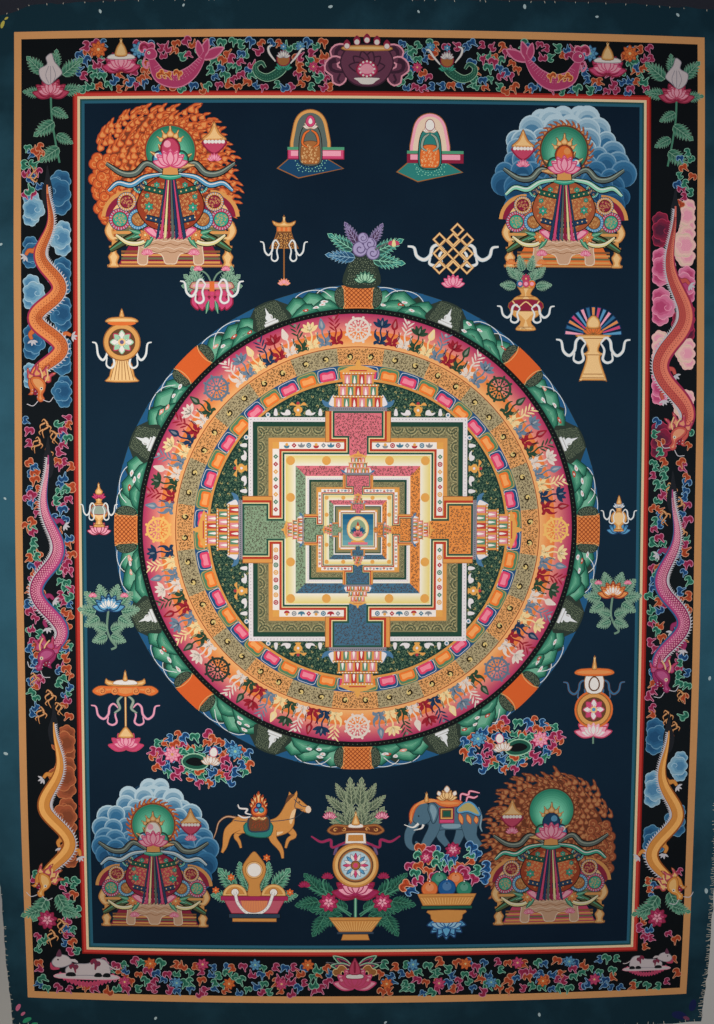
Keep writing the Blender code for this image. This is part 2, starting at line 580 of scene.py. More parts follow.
half_width = FRAME_WIDTH / 2
grounds = Motif()
grounds.rim("ochre_line", box(-half_width, half_width, -FRAME_HEIGHT, 0), OCHRE_WIDTH)
band_inner = half_width - OCHRE_WIDTH
grounds.rim("border_ground", box(-band_inner, band_inner, OCHRE_WIDTH - FRAME_HEIGHT, -OCHRE_WIDTH),
    BORDER_WIDTH)
edge = box(*FIELD)
for pigment, width in FILLET:
    grounds.rim(pigment, edge, width)
    edge = inset(edge, width)
grounds.fill("field_ground", edge)
# Both grounds carry the wash's painted shade towards the head and the foot of the cloth.
lay_paint("ruled_grounds", grounds, {"border_ground": washed_ground("lamp_black_wash", "#090d11",
    "#10161b", 90), "field_ground": washed_ground("indigo_wash", "#08192a", "#11283a", 150)})
LONGEST_EDGE = 10
relief += 3  # the broad grounds follow the curl more coarsely than the small motifs do

# Mandala rings
# Rings round the palace, from the outside in: a girdle of hills, trees and stupas between eight
# lattice blocks, a chain of beads, a rose and orange ring, a ring of scrollwork and one of petals.

PIGMENTS.update(lattice_orange="#df8347", lattice_line="#8e3f22", block_orange="#d9622f",
    sky_azurite="#235a86", pine="#2f3b34", pine_dot="#7d8a70", hill_edge="#17463a", hill="#2d705c",
    hill_light="#57a082", hill_pale="#8cc0a8", snow="#dfe3e6", stone="#b9b6b4", rock_rose="#e0a08e",
    rock_red="#b94a35", bead_black="#14181a", bead_green="#63785f", rose_deep="#b23a63",
    rose_pale="#e8917f", orange_deep="#e67c3f", orange_pale="#efb072", brown_line="#a4532e",
    scroll_ochre="#e3a367", scroll_sage="#afa17d", scroll_black="#2b2218", scroll_pale="#d9c07c",
    petal_blue="#25507f", petal_green="#5a8560", petal_rose="#e0466c", petal_rose_pale="#f08aa0",
    petal_orange="#ee7b35", petal_orange_pale="#f6a763", ring_orange="#dc9850", garden="#1d3934",
    garden_scroll="#5f7c60", garden_gold="#b3a56a", sprig_red="#9a2433", sprig_navy="#1f3a5a",
    sprig_cream="#efd49c", sprig_green="#2e4a38", sprig_grey="#6d8399", sprig_white="#e2d4ca",
    wheel_gold="#f0bd6c", wheel_grey="#66788c")
MANDALA = -2.6 - 501.2j
RINGS_SIZE = 0.975  # the rings are drawn about their own middle, a little too large
MIDDLE = 0j
GIRDLE = (229.5, 253.5)
BEADS = (224, 229.5)
ROSE = (206.5, 224)
ORANGE = (190.3, 206.5)
SCROLL = (171.2, 189.4)
PETALS = (156.4, 171.2)
GARDEN = 154.6
SECTORS = 8
BLOCK_HALF = 3.5
PETAL_COUNT = 48
SCROLL_PARTS = 24
SPRIGS = 10
SPRIG_COLOURS = ("sprig_red", "sprig_navy", "sprig_cream", "sprig_grey", "sprig_white", "sprig_green",
    "sprig_red", "sprig_grey", "sprig_cream", "sprig_green", "sprig_white")
WHEEL_COLOURS = ("wheel_gold", "sprig_green", "sprig_white", "wheel_grey", "wheel_gold", "pine",
    "sprig_white", "wheel_grey")


def curl_mark(size=1, turns=0.85, count=7):
    """Small brush curl, thick at its head, as points and triangles for scattering."""
    t = np.linspace(0, 1, count)
    path = size * (0.12 + 0.88 * t) * np.exp(2j * math.pi * turns * (1 - t)) * 0.5
    path -= path.mean()
    mark = Motif().stroke("any", path, size * 0.24 * (0.25 + 0.75 * np.sin(math.pi * (0.15 + 0.8 * t))))
    return (mark.patches[0][2], mark.patches[0][3])


def dot_mark(radius, sides=6):
    """Small round dot, as points and triangles for scattering."""
    dot = Motif().fill("any", disc(0, radius, sides))
    return (dot.patches[0][2], dot.patches[0][3])


def spots(inside, area, pitch, seed):
    """Places strewn evenly over the part of a box where the test holds."""
    left, right, bottom, top = area
    rows = np.arange(bottom, top, pitch * 0.87)
    places = []
    for number, row in enumerate(rows):
        places.append(np.arange(left + number % 2 * pitch / 2, right, pitch) + 1j * row)
    places = np.concatenate(places)
    drift = np.random.default_rng(seed).uniform(-0.28, 0.28, (len(places), 2)) * pitch
    places = places + drift[:, 0] + 1j * drift[:, 1]
    return places[inside(places)]


def strew_curls(motif, pigment, inside, area, pitch, seed, size=None, up=1):
    """Cover a region with brush curls that face all ways."""
    places = spots(inside, area, pitch, seed)
    if len(places) == 0:
        return motif
    chance = np.random.default_rng(seed + 1)
    turns = chance.uniform(0, 360, len(places))
    sizes = chance.uniform(0.8, 1.15, len(places))
    return motif.scatter(pigment, curl_mark(size or pitch * 0.95), places, turns, sizes, up)


def hill(width, height, lean=0):
    """Green hill with a pale crest, standing on the line y = 0."""
    half = width / 2
    crest = lean * width
    outline = np.array([-half - 1j, crest - half * 0.62 + 0.62j * height, crest - 1.5 + 1j * height,
        crest + half * 0.36 + 0.84j * height, half * 0.72 + 0.52j * height, half, -1.4j])
    rise = Motif()
    rise.shade(outline, "hill_edge", "hill .8", (mixed("hill", "hill_light", 0.5), 2.4), "hill_light 4.2",
        (mixed("hill_light", "hill_pale", 0.5), 6))
    side = np.concatenate([np.linspace(a, b, max(2, int(abs(b - a) / 1.5)), endpoint=False)
        for a, b in zip(outline[:-2], outline[1:-1])])
    rise.scatter("hill_edge", dot_mark(0.75, 5), side * 0.955 + 0.02j * height)
    return rise


def stupa(height):
    """White stupa: steps, dome, tapering spire."""
    tower = Motif()
    for low, high, half in ((0, 0.16, 0.4), (0.16, 0.28, 0.3)):
        tower.fill("snow", box(-half * height, half * height, low * height, high * height), up=1)
        tower.fill("stone", box(-half * height, half * height, low * height, (low + 0.04) * height))
    tower.fill("snow", disc(0.42j * height, 0.2 * height, 14))
    tower.fill("stone", smooth(height * plotted(".1,.5 .17,.4 .1,.3"), 5))
    tower.fill("snow", height * plotted("-.09,.56 .09,.56 0,1"))
    return tower


def pine_clump(width, height):
    """Dark round tree, dotted all over with pale leaves."""
    clump = Motif()
    crown = disc(0, 1, 22)
    crown = crown.real * width / 2 + 1j * (crown.imag * height / 2 + height / 2)
    clump.fill("pine", crown)
    places = spots(lambda p: (p.real * 2.2 / width) ** 2
        + ((p.imag - height / 2) * 2.2 / height) ** 2 < 1, (-width / 2, width / 2, 0, height), 1.5, 5)
    return clump.scatter("pine_dot", dot_mark(0.42, 5), places)


def at_mandala(motif, wide, tall):
    """A drawing made about its own middle, brought to the mandala's place and measured size."""
    moved = Motif()
    for pigment, coat, points, triangles in motif.patches:
        points = MANDALA + points.real * wide + 1j * points.imag * tall
        moved.patches.append((pigment, coat, points, triangles))
    return moved


def girdle_sector(seed):
    """Landscape between two lattice blocks, drawn along a straight line 24 mm high."""
    chance = random.Random(seed)
    strip = Motif()
    strip.fill("hill_edge", box(-82, 82, 0, 23.9))
    for side in (-1, 1):
        for number, at in enumerate((62, 41, 23)):
            sky = [side * (at - 13) + 23.9j, side * at + 13j, side * (at + 13) + 23.9j]
            strip.fill("sky_azurite", sky, up=not number)
        for number, (at, width, height) in enumerate(((63, 42, 21.5), (43, 46, 21.5), (26, 36, 19),
                (55, 32, 11), (34, 34, 12))):
            tall = height + chance.uniform(-1.5, 1.5)
            mound = hill(width + chance.uniform(-2, 3), tall, chance.uniform(-0.12, 0.12))
            if number in (0, 1):
                crest = curve([side * at - width * 0.45 + 12j, side * at - width * 0.25 + 20.5j,
                    side * at + 23j, side * at + width * 0.28 + 20.5j, side * at + width * 0.45 + 13j], 4)
                strip.stroke("snow", crest, 0.7)
            strip.put(mound, at=side * at + 0.2j)
    patch = smooth("-19,.2 -16,14 -10,23.6 |", 4)
    strip.fill("pine", patch)
    strip.scatter("pine_dot", dot_mark(0.42, 5), spots(lambda p: np.abs(p.real) < 17.5 - p.imag * 0.3,
        (-17, 17, 1, 22.5), 1.5, 9))
    strip.put(stupa(chance.uniform(18, 21)), at=chance.uniform(-2, 2) + 0.8j)
    for side in (-1, 1):
        strip.put(pine_clump(14, 22.5), at=side * 73.5 + 0.7j)
        for _ in range(4):
            at = complex(side * chance.uniform(22, 66), chance.uniform(2.5, 14))
            tone = chance.choice(("rock_rose", "snow", "rock_red", "snow"))
            blot = smooth([complex(chance.uniform(2.2, 4.2) * math.cos(a),
                chance.uniform(1, 2) * math.sin(a)) for a in np.arange(7) * 0.9])
            strip.fill(tone, blot + at)
            strip.fill("rock_rose" if tone == "snow" else "snow", blot * 0.4 + at)
    return strip


def sprig(colour, kind):
    """Lotus bud, open lotus or leaf spray on a stalk between curled leaves, 26 mm high."""
    plant = Motif()
    light = mixed(colour, "sprig_white", 0.45 if colour != "sprig_white" else 0)
    plant.stroke(colour, curve("0,0 -1,6 .8,12 0,17", 4), 1.5)
    leaf = smooth(".3,3 3.4,3.6 6.2,7 6.4,12 4.4,14.6 4.9,11 3.6,8.4 1.2,7", 5)
    low = smooth("0,0 2.8,.4 5.4,-.8 6.2,1.8 3.8,3.4 1.2,2.6", 5)
    for outline in (leaf, -np.conj(leaf), low, -np.conj(low)):
        plant.fill(colour, outline, up=0)
    if kind == 0:
        plant.shade("~5 0,15 3.2,18 2.2,22.5 0,26.5 -2.2,22.5 -3.2,18", colour)
        plant.fill(light, "~ 0,17 1.2,19.4 .8,22 0,24 -.8,22 -1.2,19.4")
    elif kind == 1:
        for turn in (-62, -31, 31, 62, 0):
            petal = smooth("0,0 -1.9,4 -1.3,7.6 0,9.6 1.3,7.6 1.9,4")
            plant.fill(colour, petal * heading(turn) + 16j, up=0)
        plant.fill(light, "~ 0,17.5 -.9,20 0,22.8 .9,20")
    else:
        for number, side in enumerate((-1, 1, -1, 1, -1, 1)):
            tip = side * 5.6 + 1j * (17.5 + 2.2 * number)
            root = 1j * (13 + 1.9 * number)
            plant.fill(colour, smooth([root, (root + tip) / 2 + 1.3j, tip, (root + tip) / 2 - 1j]), up=0)
        plant.fill(light, disc(25.4j, 1.5, 8))
    return plant


def wheel(colour, radius, spokes=8):
    """Eight-spoked wheel with a knobbed rim and scrolls between the spokes."""
    disk = Motif()
    disk.band(colour, 0, radius * 0.72, radius * 0.9, step=12)
    disk.band(colour, 0, radius * 0.1, radius * 0.24, step=24, up=0)
    for number in range(spokes):
        way = np.exp(2j * math.pi * (number + 0.5) / spokes)
        spoke = way * radius * np.array([0.2, 0.45, 0.6, 0.75])
        disk.stroke(colour, spoke, radius * np.array([0.07, 0.09, 0.2, 0.08]), up=0)
        disk.fill(colour, disc(way * radius * 0.95, radius * 0.1, 8), up=0)
        between = np.exp(2j * math.pi * number / spokes)
        disk.fill(colour, disc(between * radius * 0.48, radius * 0.085, 7), up=0)
        disk.fill(colour, disc(between * radius * 0.66, radius * 0.06, 6), up=0)
    return disk


rings = Motif(10)
rings.band("pine", MIDDLE, *GIRDLE)
for sector in range(SECTORS):
    middle = 22.5 + 45 * sector
    strip = Motif(-1).put(girdle_sector(31 + sector), flip=bool(sector % 2))
    rings.put(strip.bent(MIDDLE, GIRDLE[0], middle), beside=True)
rings.coat = max((patch[1] for patch in rings.patches))
for sector in range(SECTORS):
    middle = 45 * sector
    plain = sector % 2 == 1
    rings.band("block_orange" if plain else "lattice_orange", MIDDLE, *GIRDLE, middle - BLOCK_HALF,
        middle + BLOCK_HALF, step=1.4, up=not sector)
rings.coat += 1
for sector in range(SECTORS):
    middle = 45 * sector
    mid_radius = sum(GIRDLE) / 2
    for side in (-1, 1):
        bulge = [MIDDLE + r * heading(middle + side * (BLOCK_HALF + offset))
            for r, offset in ((GIRDLE[0] + 0.2, 0.35), (mid_radius - 6, -0.25), (mid_radius, -0.4),
            (mid_radius + 6, -0.25), (GIRDLE[1] - 0.2, 0.35))]
        rings.stroke("scroll_ochre", curve(bulge), 0.9, up=0)
    if sector % 2:
        continue
    for slope in (-1, 1):
        for offset in np.arange(-40, 41, 4.4):
            line = [complex(x, slope * x + offset + 12) for x in np.linspace(-13.5, 13.5, 19)]
            line = np.array([p for p in line if 0.4 < p.imag < 23.6])
            if len(line) > 1:
                lattice = Motif().stroke("lattice_line", line, 0.75)
                rings.put(lattice.bent(MIDDLE, GIRDLE[0], middle), beside=True)
rings.coat += 3
rings.band("bead_black", MIDDLE, *BEADS)
bead_spokes = np.exp(1j * np.radians(np.arange(0, 360, 1.2)))
rings.scatter("bead_green", dot_mark(0.5, 5), MIDDLE + sum(BEADS) / 2 * bead_spokes)

wash_steps = 12
for first, second, (inner, outer) in (("rose_pale", "rose_deep", ROSE),
        ("orange_pale", "orange_deep", ORANGE)):
    for step in range(wash_steps):
        low = inner + (outer - inner) * step / wash_steps
        high = inner + (outer - inner) * (step + 1) / wash_steps
        rings.band(mixed(first, second, step / (wash_steps - 1)), MIDDLE, low, high,
            up=1 if (first, step) == ("rose_pale", 0) else 0)
rings.coat += 1
for sector in range(SECTORS):
    for number in range(SPRIGS):
        angle = 45 * sector + 6.6 + (45 - 13.2) * number / (SPRIGS - 1)
        colour = SPRIG_COLOURS[(number + 3 * sector) % len(SPRIG_COLOURS)]
        at = MIDDLE + 193.5 * heading(angle)
        rings.put(sprig(colour, (number + sector) % 3), at, angle - 90, 1.1, bool(number % 2),
            beside=True)
    at = MIDDLE + 207.5 * heading(45 * sector)
    rings.put(wheel(WHEEL_COLOURS[sector], 14.2), at, turn=45 * sector, beside=True)
lay_paint("mandala_rings", at_mandala(rings, RINGS_SIZE, RINGS_SIZE))

rings = Motif()
rings.band("brown_line", MIDDLE, 189.4, 190.3)
for part in range(SCROLL_PARTS):
    start = 360 * (part + 0.45) / SCROLL_PARTS
    rings.band("scroll_ochre" if part % 2 else "scroll_sage", MIDDLE, *SCROLL, start,
        start + 360 / SCROLL_PARTS, up=0)


def in_scroll_ring(places):
    """Whether places lie in the scrollwork ring."""
    radius = np.abs(places - MIDDLE)
    return (radius > SCROLL[0] + 1.2) & (radius < SCROLL[1] - 1.2)


whole = (MIDDLE.real - 255, MIDDLE.real + 255, MIDDLE.imag - 255, MIDDLE.imag + 255)
strew_curls(rings, "scroll_black", in_scroll_ring, whole, 2.7, 21)
big_curls = [360 * (part + 0.45 + share) / SCROLL_PARTS for part in range(SCROLL_PARTS)
    for share in (0.27, 0.73)]
at = MIDDLE + 180 * np.exp(1j * np.radians(big_curls))
rings.scatter("scroll_pale", dot_mark(3.2, 12), at)
rings.scatter("scroll_black", curl_mark(7.8, 0.95, 13), at, np.array(big_curls) * 7)

rings.band("petal_blue", MIDDLE, *PETALS)
for petal in range(PETAL_COUNT):
    angle = 360 * (petal + 0.5) / PETAL_COUNT
    rosy = petal % 2
    width = 2 * math.pi * 163.8 / PETAL_COUNT
    block = Motif()
    cup = smooth([-width * 0.48 + 0.3j, -width * 0.49 + 9j, -width * 0.38 + 14j, 14.6j,
        width * 0.38 + 14j, width * 0.49 + 9j, width * 0.48 + 0.3j, 0.2j], 5)
    inner = smooth("-7.2,1.2 -7.8,6 -7,9.6 -3.5,10.6 0,9.8 | 0,.9")
    block.fill("petal_blue" if rosy else "petal_green", cup)
    block.rim("snow" if rosy else "scroll_ochre", inset(cup, 1), 0.5)
    block.shade(inner, "petal_rose" if rosy else "petal_orange",
        ("petal_rose_pale" if rosy else "petal_orange_pale", 2.2))
    rings.put(block.bent(MIDDLE, PETALS[0], angle), beside=True)
rings.coat += 5
rings.band("ring_orange", MIDDLE, GARDEN, PETALS[0] + 0.6)
rings.fill("garden", disc(MIDDLE, GARDEN + 0.2, 120), up=0)


def in_garden(places):
    """Whether places lie in the dark garden outside the palace walls."""
    local = places - MIDDLE
    outside = np.maximum(np.abs(local.real), np.abs(local.imag)) > 114.5
    return outside & (np.abs(local) < GARDEN - 1.5)


strew_curls(rings, "garden_scroll", in_garden, whole, 3, 41)
strew_curls(rings, "garden_gold", in_garden, whole, 9, 43, size=3.4)
lay_paint("mandala_scrolls", at_mandala(rings, RINGS_SIZE, RINGS_SIZE))

# Mandala palace
# Square palace seen from above with four gates, and two smaller ones of the same plan inside it.
# Each has a white rail, green and olive walls, a white band of offerings, a five-colour wall line,
# a yellow court and a floor in four colours; over each gate stands a storeyed arch.

PIGMENTS.update(rail_white="#e4dfe2", rail_mark="#8f8a96", wall_green="#24483b", wall_olive="#87825f",
    olive_mark="#5c5a44", olive_pale="#b5ae80", wall_orange="#dd9a52", wall_brown="#a8663a",
    band_white="#f0e9e4", wall_red="#b8402e", wall_cream="#ecdca6", wall_line_green="#2a5446",
    court_yellow="#e6d384", court_white="#efe9da", floor_rose="#dd7583", floor_orange="#e8914a",
    floor_blue="#47708b", floor_sage="#8aa486", floor_mark="#4a3a33", roof_gold="#e3a557",
    roof_blue="#4c7aa0", panel_red="#bd3f3f", panel_green="#5c8f72", panel_rose="#e0909a",
    heart_blue="#1f6088", heart_pale="#6fa5ae", halo_cream="#ead9a8", offer_blue="#4d8098",
    offer_red="#b33c45", offer_green="#53836a", offer_gold="#e2a555", offer_grey="#8d9298")
PALACE_REACH = (0.98, 1.007)  # it was drawn a little taller than wide
PALACE_SIZES = (1, 0.465, 0.22)
RAIL, GREEN_WALL, OLIVE_WALL, ORANGE_WALL, OFFERINGS = (113.2, 108.7, 103.9, 92.5, 88.3)
COURT, COURT_EDGE, FLOOR, FLOOR_EDGE = (76, 74.9, 64.5, 54.2)
NECK, PORCH = (9, 24.3)
PORCH_NEAR, PORCH_FAR = (94.7, 117.5)
WALL_LINES = (("wall_red", 5.4), ("wall_cream", 3), ("wall_line_green", 2))
FLOOR_COLOURS = ("floor_rose", "floor_sage", "floor_blue", "floor_orange")
OFFERING_COLOURS = ("offer_gold", "offer_blue", "offer_red", "offer_grey", "offer_green", "offer_red")


def square(half):
    """Corners of a square round the palace's middle."""
    return box(-half, half, -half, half)


def jewel(pigments, radius):
    """Round jewel or small disc with a lighter middle."""
    return Motif().fill(pigments[0], disc(0, radius, 14)).fill(pigments[1], disc(0, radius * 0.55, 10))


def offering(kind, colour):
    """One of the tiny offerings on the white band, 4 mm high."""
    gift = Motif()
    if kind == 0:
        gift.fill(colour, "~5 -2.2,1.8 -1.2,0 | 0,1.8")
        gift.fill("offer_gold", disc(2.6j, 1.2, 8))
    elif kind == 1:
        gift.fill(colour, "-1.9,2 0,.1 | 0,4")
        gift.fill("band_white", disc(2j, 0.5, 6))
    elif kind == 2:
        for turn in (-50, 0, 50):
            petal = smooth("0,0 -.9,1.8 0,3.6 .9,1.8") * heading(turn)
            gift.fill(colour, petal + 0.4j, up=0)
    else:
        gift.fill(colour, disc(2j, 1.9, 12))
        gift.band("band_white", 2j, 0.7, 1, step=30)
    return gift


def arc_mark(radius):
    """Half ring above its middle, as points and triangles for scattering."""
    arc = Motif().stroke("any", radius * np.exp(1j * np.radians(np.arange(0, 181, 22.5))), 0.7)
    return (arc.patches[0][2], arc.patches[0][3])


def storey(half, low, high, posts, fine):
    """One storey of a gate arch: coloured panels between gold posts under a cornice."""
    level = Motif()
    level.fill("panel_red", box(-half, half, low, high))
    wide = 2 * half / posts
    for number in range(posts):
        middle = -half + wide * (number + 0.5)
        tone = ("panel_rose", "panel_green", "panel_red")[number % 3]
        level.fill(tone, box(middle - wide * 0.36, middle + wide * 0.36, low + 0.5, high - 0.5),
            up=not number)
    for number in range(posts + 1):
        at = -half + wide * number
        level.fill("wall_orange", box(at - wide * 0.13, at + wide * 0.13, low, high), up=not number)
    if fine:
        for number in range(posts):
            middle = -half + wide * (number + 0.5)
            level.fill("band_white", smooth([middle - wide * 0.16 + 1j * (low + 1),
                middle + wide * 0.16 + 1j * (low + 1), middle + 1j * (high - 1.4)], 5), up=not number)
    level.fill("roof_gold", box(-half - 2, half + 2, high, high + 2))
    level.fill("wall_brown", box(-half - 2, half + 2, high, high + 0.6))
    if fine:
        level.scatter("band_white", dot_mark(0.7, 6),
            np.arange(-half, half + 0.1, 3.2) + 1j * (high + 1.3))
    return level


def gate_arch(fine):
    """Storeyed arch over a gate, with pennants at its feet and a finial."""
    arch = Motif()
    arch.fill("rail_mark", box(-30, 30, 119.5, 123.6))
    arch.scatter("wall_green", dot_mark(0.55, 5), np.arange(-29, 29.5, 2) + 121.6j)
    for side in (-1, 1):
        wing = facing(side, "24,124 34,124 37.5,131 31,128.5 27,135 24,131")
        arch.fill("roof_blue", smooth(wing))
        arch.fill("rail_white", smooth(facing(side, "24.5,124.6 30,126 29,130 25,136")))
    for half, low, high, posts in ((24, 123.6, 132.8, 6), (19.5, 135.2, 144.2, 5), (15, 146.8, 156, 4)):
        arch.put(storey(half, low, high, posts, fine))
    arch.fill("roof_gold", "~ -18,158.4 18,158.4 15,161.4 5,165 -5,165 -15,161.4")
    arch.fill("panel_red", box(-9, 9, 159.4, 160.6))
    arch.fill("roof_gold", "~ -2.2,164 2.2,164 2.6,167 0,171.5 -2.6,167")
    return arch


def palace(size, curl_pitch, seed):
    """One palace, drawn full size and then scaled; curls keep the brush's own size."""
    fine = size > 0.4
    plan = Motif()
    for colour, half, width in (("rail_white", RAIL, RAIL - GREEN_WALL), ("wall_green", GREEN_WALL, 4.8),
            ("wall_olive", OLIVE_WALL, OLIVE_WALL - ORANGE_WALL),
            ("wall_orange", ORANGE_WALL, ORANGE_WALL - OFFERINGS), ("band_white", OFFERINGS, 13)):
        plan.rim(colour, square(half), width, up=0)
    if fine:
        for quarter in range(4):
            spin = 1j ** quarter
            rail = spin * (np.arange(-RAIL + 3, RAIL - 2, 3.4 / size ** 0.5) + 1j * (RAIL - 2.1))
            plan.scatter("rail_mark", dot_mark(0.5, 5), rail, up=not quarter)
            for side in (-1, 1):
                nets = spin * (side * np.arange(41, 104, 14) + 1j * (OLIVE_WALL - 1.6))
                for radius, colour in ((6.8, "olive_pale"), (5.3, "wall_green"), (3.9, "olive_pale"),
                        (2.4, "wall_green")):
                    plan.scatter(colour, arc_mark(radius), nets, 90 * quarter + 180, up=0)

        def in_olive(places):
            """Whether places lie on the olive wall."""
            reach = np.maximum(np.abs(places.real), np.abs(places.imag))
            return (reach > ORANGE_WALL + 1) & (reach < OLIVE_WALL - 1)

        strew_curls(plan, "olive_mark", in_olive, (-104, 104, -104, 104), curl_pitch / size, seed)
    for quarter in range(4):
        corner = (1 + 1j) * 84.9 * 1j ** quarter
        plan.fill("offer_gold", square(3.4) + corner, up=not quarter)
    for quarter in range(4):
        spin = 1j ** quarter
        plan.fill("wall_orange", spin * box(-34, 34, 88, 119.6), up=not quarter)
    for quarter in range(4):
        spin = 1j ** quarter
        plan.rim("wall_brown", spin * box(-34, 34, 88, 119.6), 0.7, up=not quarter)
        if size > 0.3:
            for side in (-1, 1):
                for number, reach in enumerate(np.arange(20.5, 80, 7.6 if fine else 9)):
                    gift = offering((number * (3 + quarter) + side) % 4,
                        OFFERING_COLOURS[(number * 2 + quarter + side) % 6])
                    plan.put(gift, spin * (side * reach + 82.3j), 90 * quarter, 1.35, beside=True)
    plan.coat += 3
    gate = [complex(x, y) for x, y in ((COURT, COURT), (NECK, COURT), (NECK, PORCH_NEAR),
        (PORCH, PORCH_NEAR), (PORCH, PORCH_FAR), (-PORCH, PORCH_FAR), (-PORCH, PORCH_NEAR),
        (-NECK, PORCH_NEAR), (-NECK, COURT))]
    walls = np.concatenate([np.array(gate) * 1j ** quarter for quarter in range(4)])
    for colour, width in WALL_LINES:
        plan.fill(colour, inset(walls, -width))
    plan.fill("court_white", walls)
    steps = 8
    for step in range(steps):
        wide = (COURT_EDGE - FLOOR) / steps
        plan.rim(mixed("court_yellow", "court_white", step / (steps - 1)),
            square(COURT_EDGE - wide * step), wide, up=not step)
    for quarter in range(4):
        spin = 1j ** quarter
        porch = (spin * np.array([complex(x, y) for x, y in ((NECK, COURT_EDGE), (NECK, PORCH_NEAR),
            (PORCH, PORCH_NEAR), (PORCH, PORCH_FAR), (-PORCH, PORCH_FAR), (-PORCH, PORCH_NEAR),
            (-NECK, PORCH_NEAR), (-NECK, COURT_EDGE))]))
        plan.fill(FLOOR_COLOURS[quarter], porch, up=not quarter)
        ledge = np.array([FLOOR * (1 + 1j), FLOOR * (-1 + 1j), FLOOR_EDGE * (-1 + 1j),
            FLOOR_EDGE * (1 + 1j)])
        plan.fill(FLOOR_COLOURS[quarter], spin * ledge, up=0)
    if fine:
        for quarter in range(4):
            spin = 1j ** quarter
            for place in (69.7 + 69.7j, 32.6 + 69.7j, -32.6 + 69.7j):
                plan.put(jewel(("offer_gold", "roof_gold"), 4.6), spin * place, beside=True)
        plan.coat += 2

    def on_floor(places):
        """Whether places lie on the four-coloured floor, in a gate's neck or in its porch."""
        x, y = (np.abs(places.real), np.abs(places.imag))
        x, y = (np.minimum(x, y), np.maximum(x, y))
        ledge = (y < FLOOR - 1) & (y > FLOOR_EDGE + 1)
        porch = (y > PORCH_NEAR + 1) & (y < PORCH_FAR - 1) & (x < PORCH - 1)
        neck = (y > COURT) & (y <= PORCH_NEAR + 1) & (x < NECK - 1.2)
        return ledge | porch | neck

    strew_curls(plan, "floor_mark", on_floor, (-118, 118, -118, 118), curl_pitch / size, seed + 7)
    for quarter in range(4):
        plan.put(gate_arch(fine), turn=90 * quarter, beside=quarter < 3)
    scaled = Motif(-1)
    return scaled.put(plan, size=size)


def inner_heart():
    """Square cell at the very middle, with a lotus and a jewel in a cream halo."""
    cell = Motif()
    steps = 6
    for step in range(steps):
        high = 16 - 32 * step / steps
        cell.fill(mixed("heart_blue", "heart_pale", step / (steps - 1)),
            box(-16, 16, high - 32 / steps, high), up=not step)
    halo = disc(0, 1, 26)
    halo = halo.real * 11.5 + 1j * (halo.imag * 13 + 1)
    cell.shade(halo, "offer_gold", "halo_cream .8", "floor_sage 3.4")
    for turn in range(-80, 81, 20):
        petal = smooth("0,0 -1.9,4 0,8.6 1.9,4") * heading(turn)
        cell.fill("heart_blue", petal - 4j, up=0)
    cell.coat += 1
    for turn in range(-70, 71, 28):
        petal = smooth("0,0 -1.6,3 0,6.4 1.6,3") * heading(turn)
        cell.fill("floor_rose", petal - 6.5j, up=0)
    cell.put(jewel(("offer_gold", "halo_cream"), 2.6), 2.5j)
    cell.fill("wall_red", "~ -1.2,4.5 1.2,4.5 0,8.5")
    cell.fill("floor_rose", box(-10, 10, -15, -12.6))
    cell.fill("offer_gold", box(-7, 7, -12.6, -11))
    return cell


def vase_with_sprays(size):
    """Small gold vase in the garden, flanked by white conch shells."""
    stand = Motif()
    stand.fill("offer_gold", "~ -4,8 -4.4,5 -2.2,2 -3,0 3,0 2.2,2 4.4,5 4,8 1.6,9.4 3,11 -3,11 -1.6,9.4")
    stand.fill("offer_red", disc(12.4j, 1.7, 8))
    stand.fill("rail_white", disc(5.6j, 1.4, 8))
    for side in (-1, 1):
        leaf = smooth(facing(side, "2,10 6,13.5 9,10.5 5,10.4"))
        shell = smooth(facing(side, "8,1 15,.4 18,3.4 14,2.8 12,6 8.6,5"))
        stand.fill("roof_gold", leaf, up=0)
        stand.fill("rail_white", shell, up=0)
        stand.fill("rail_white", smooth(facing(side, "21,.5 25,.5 24,6.5 22,6.5")), up=0)
    return Motif(-1).put(stand, size=size)


house = Motif(26)
for size, pitch, seed in zip(PALACE_SIZES, (2.9, 2.3, 2.1), (61, 67, 71)):
    house.put(palace(size, pitch, seed), at=MIDDLE)
house.put(inner_heart(), at=MIDDLE)
for quarter in range(4):
    for side in (-1, 1):
        at = MIDDLE + (side * 62 + 114.8j) * 1j ** quarter
        house.put(vase_with_sprays(1), at, turn=90 * quarter, beside=True)
        at = MIDDLE + (side * 93 + 115.5j) * 1j ** quarter
        house.put(jewel(("rail_white", "offer_blue"), 2.4), at, beside=True)
lay_paint("mandala_palace", at_mandala(house, *PALACE_REACH))

# Four corner thrones Flames or clouds rise round a green halo over a gold throne heaped with
# scarves, a jewel-topped vase, brocade and lotus flowers.

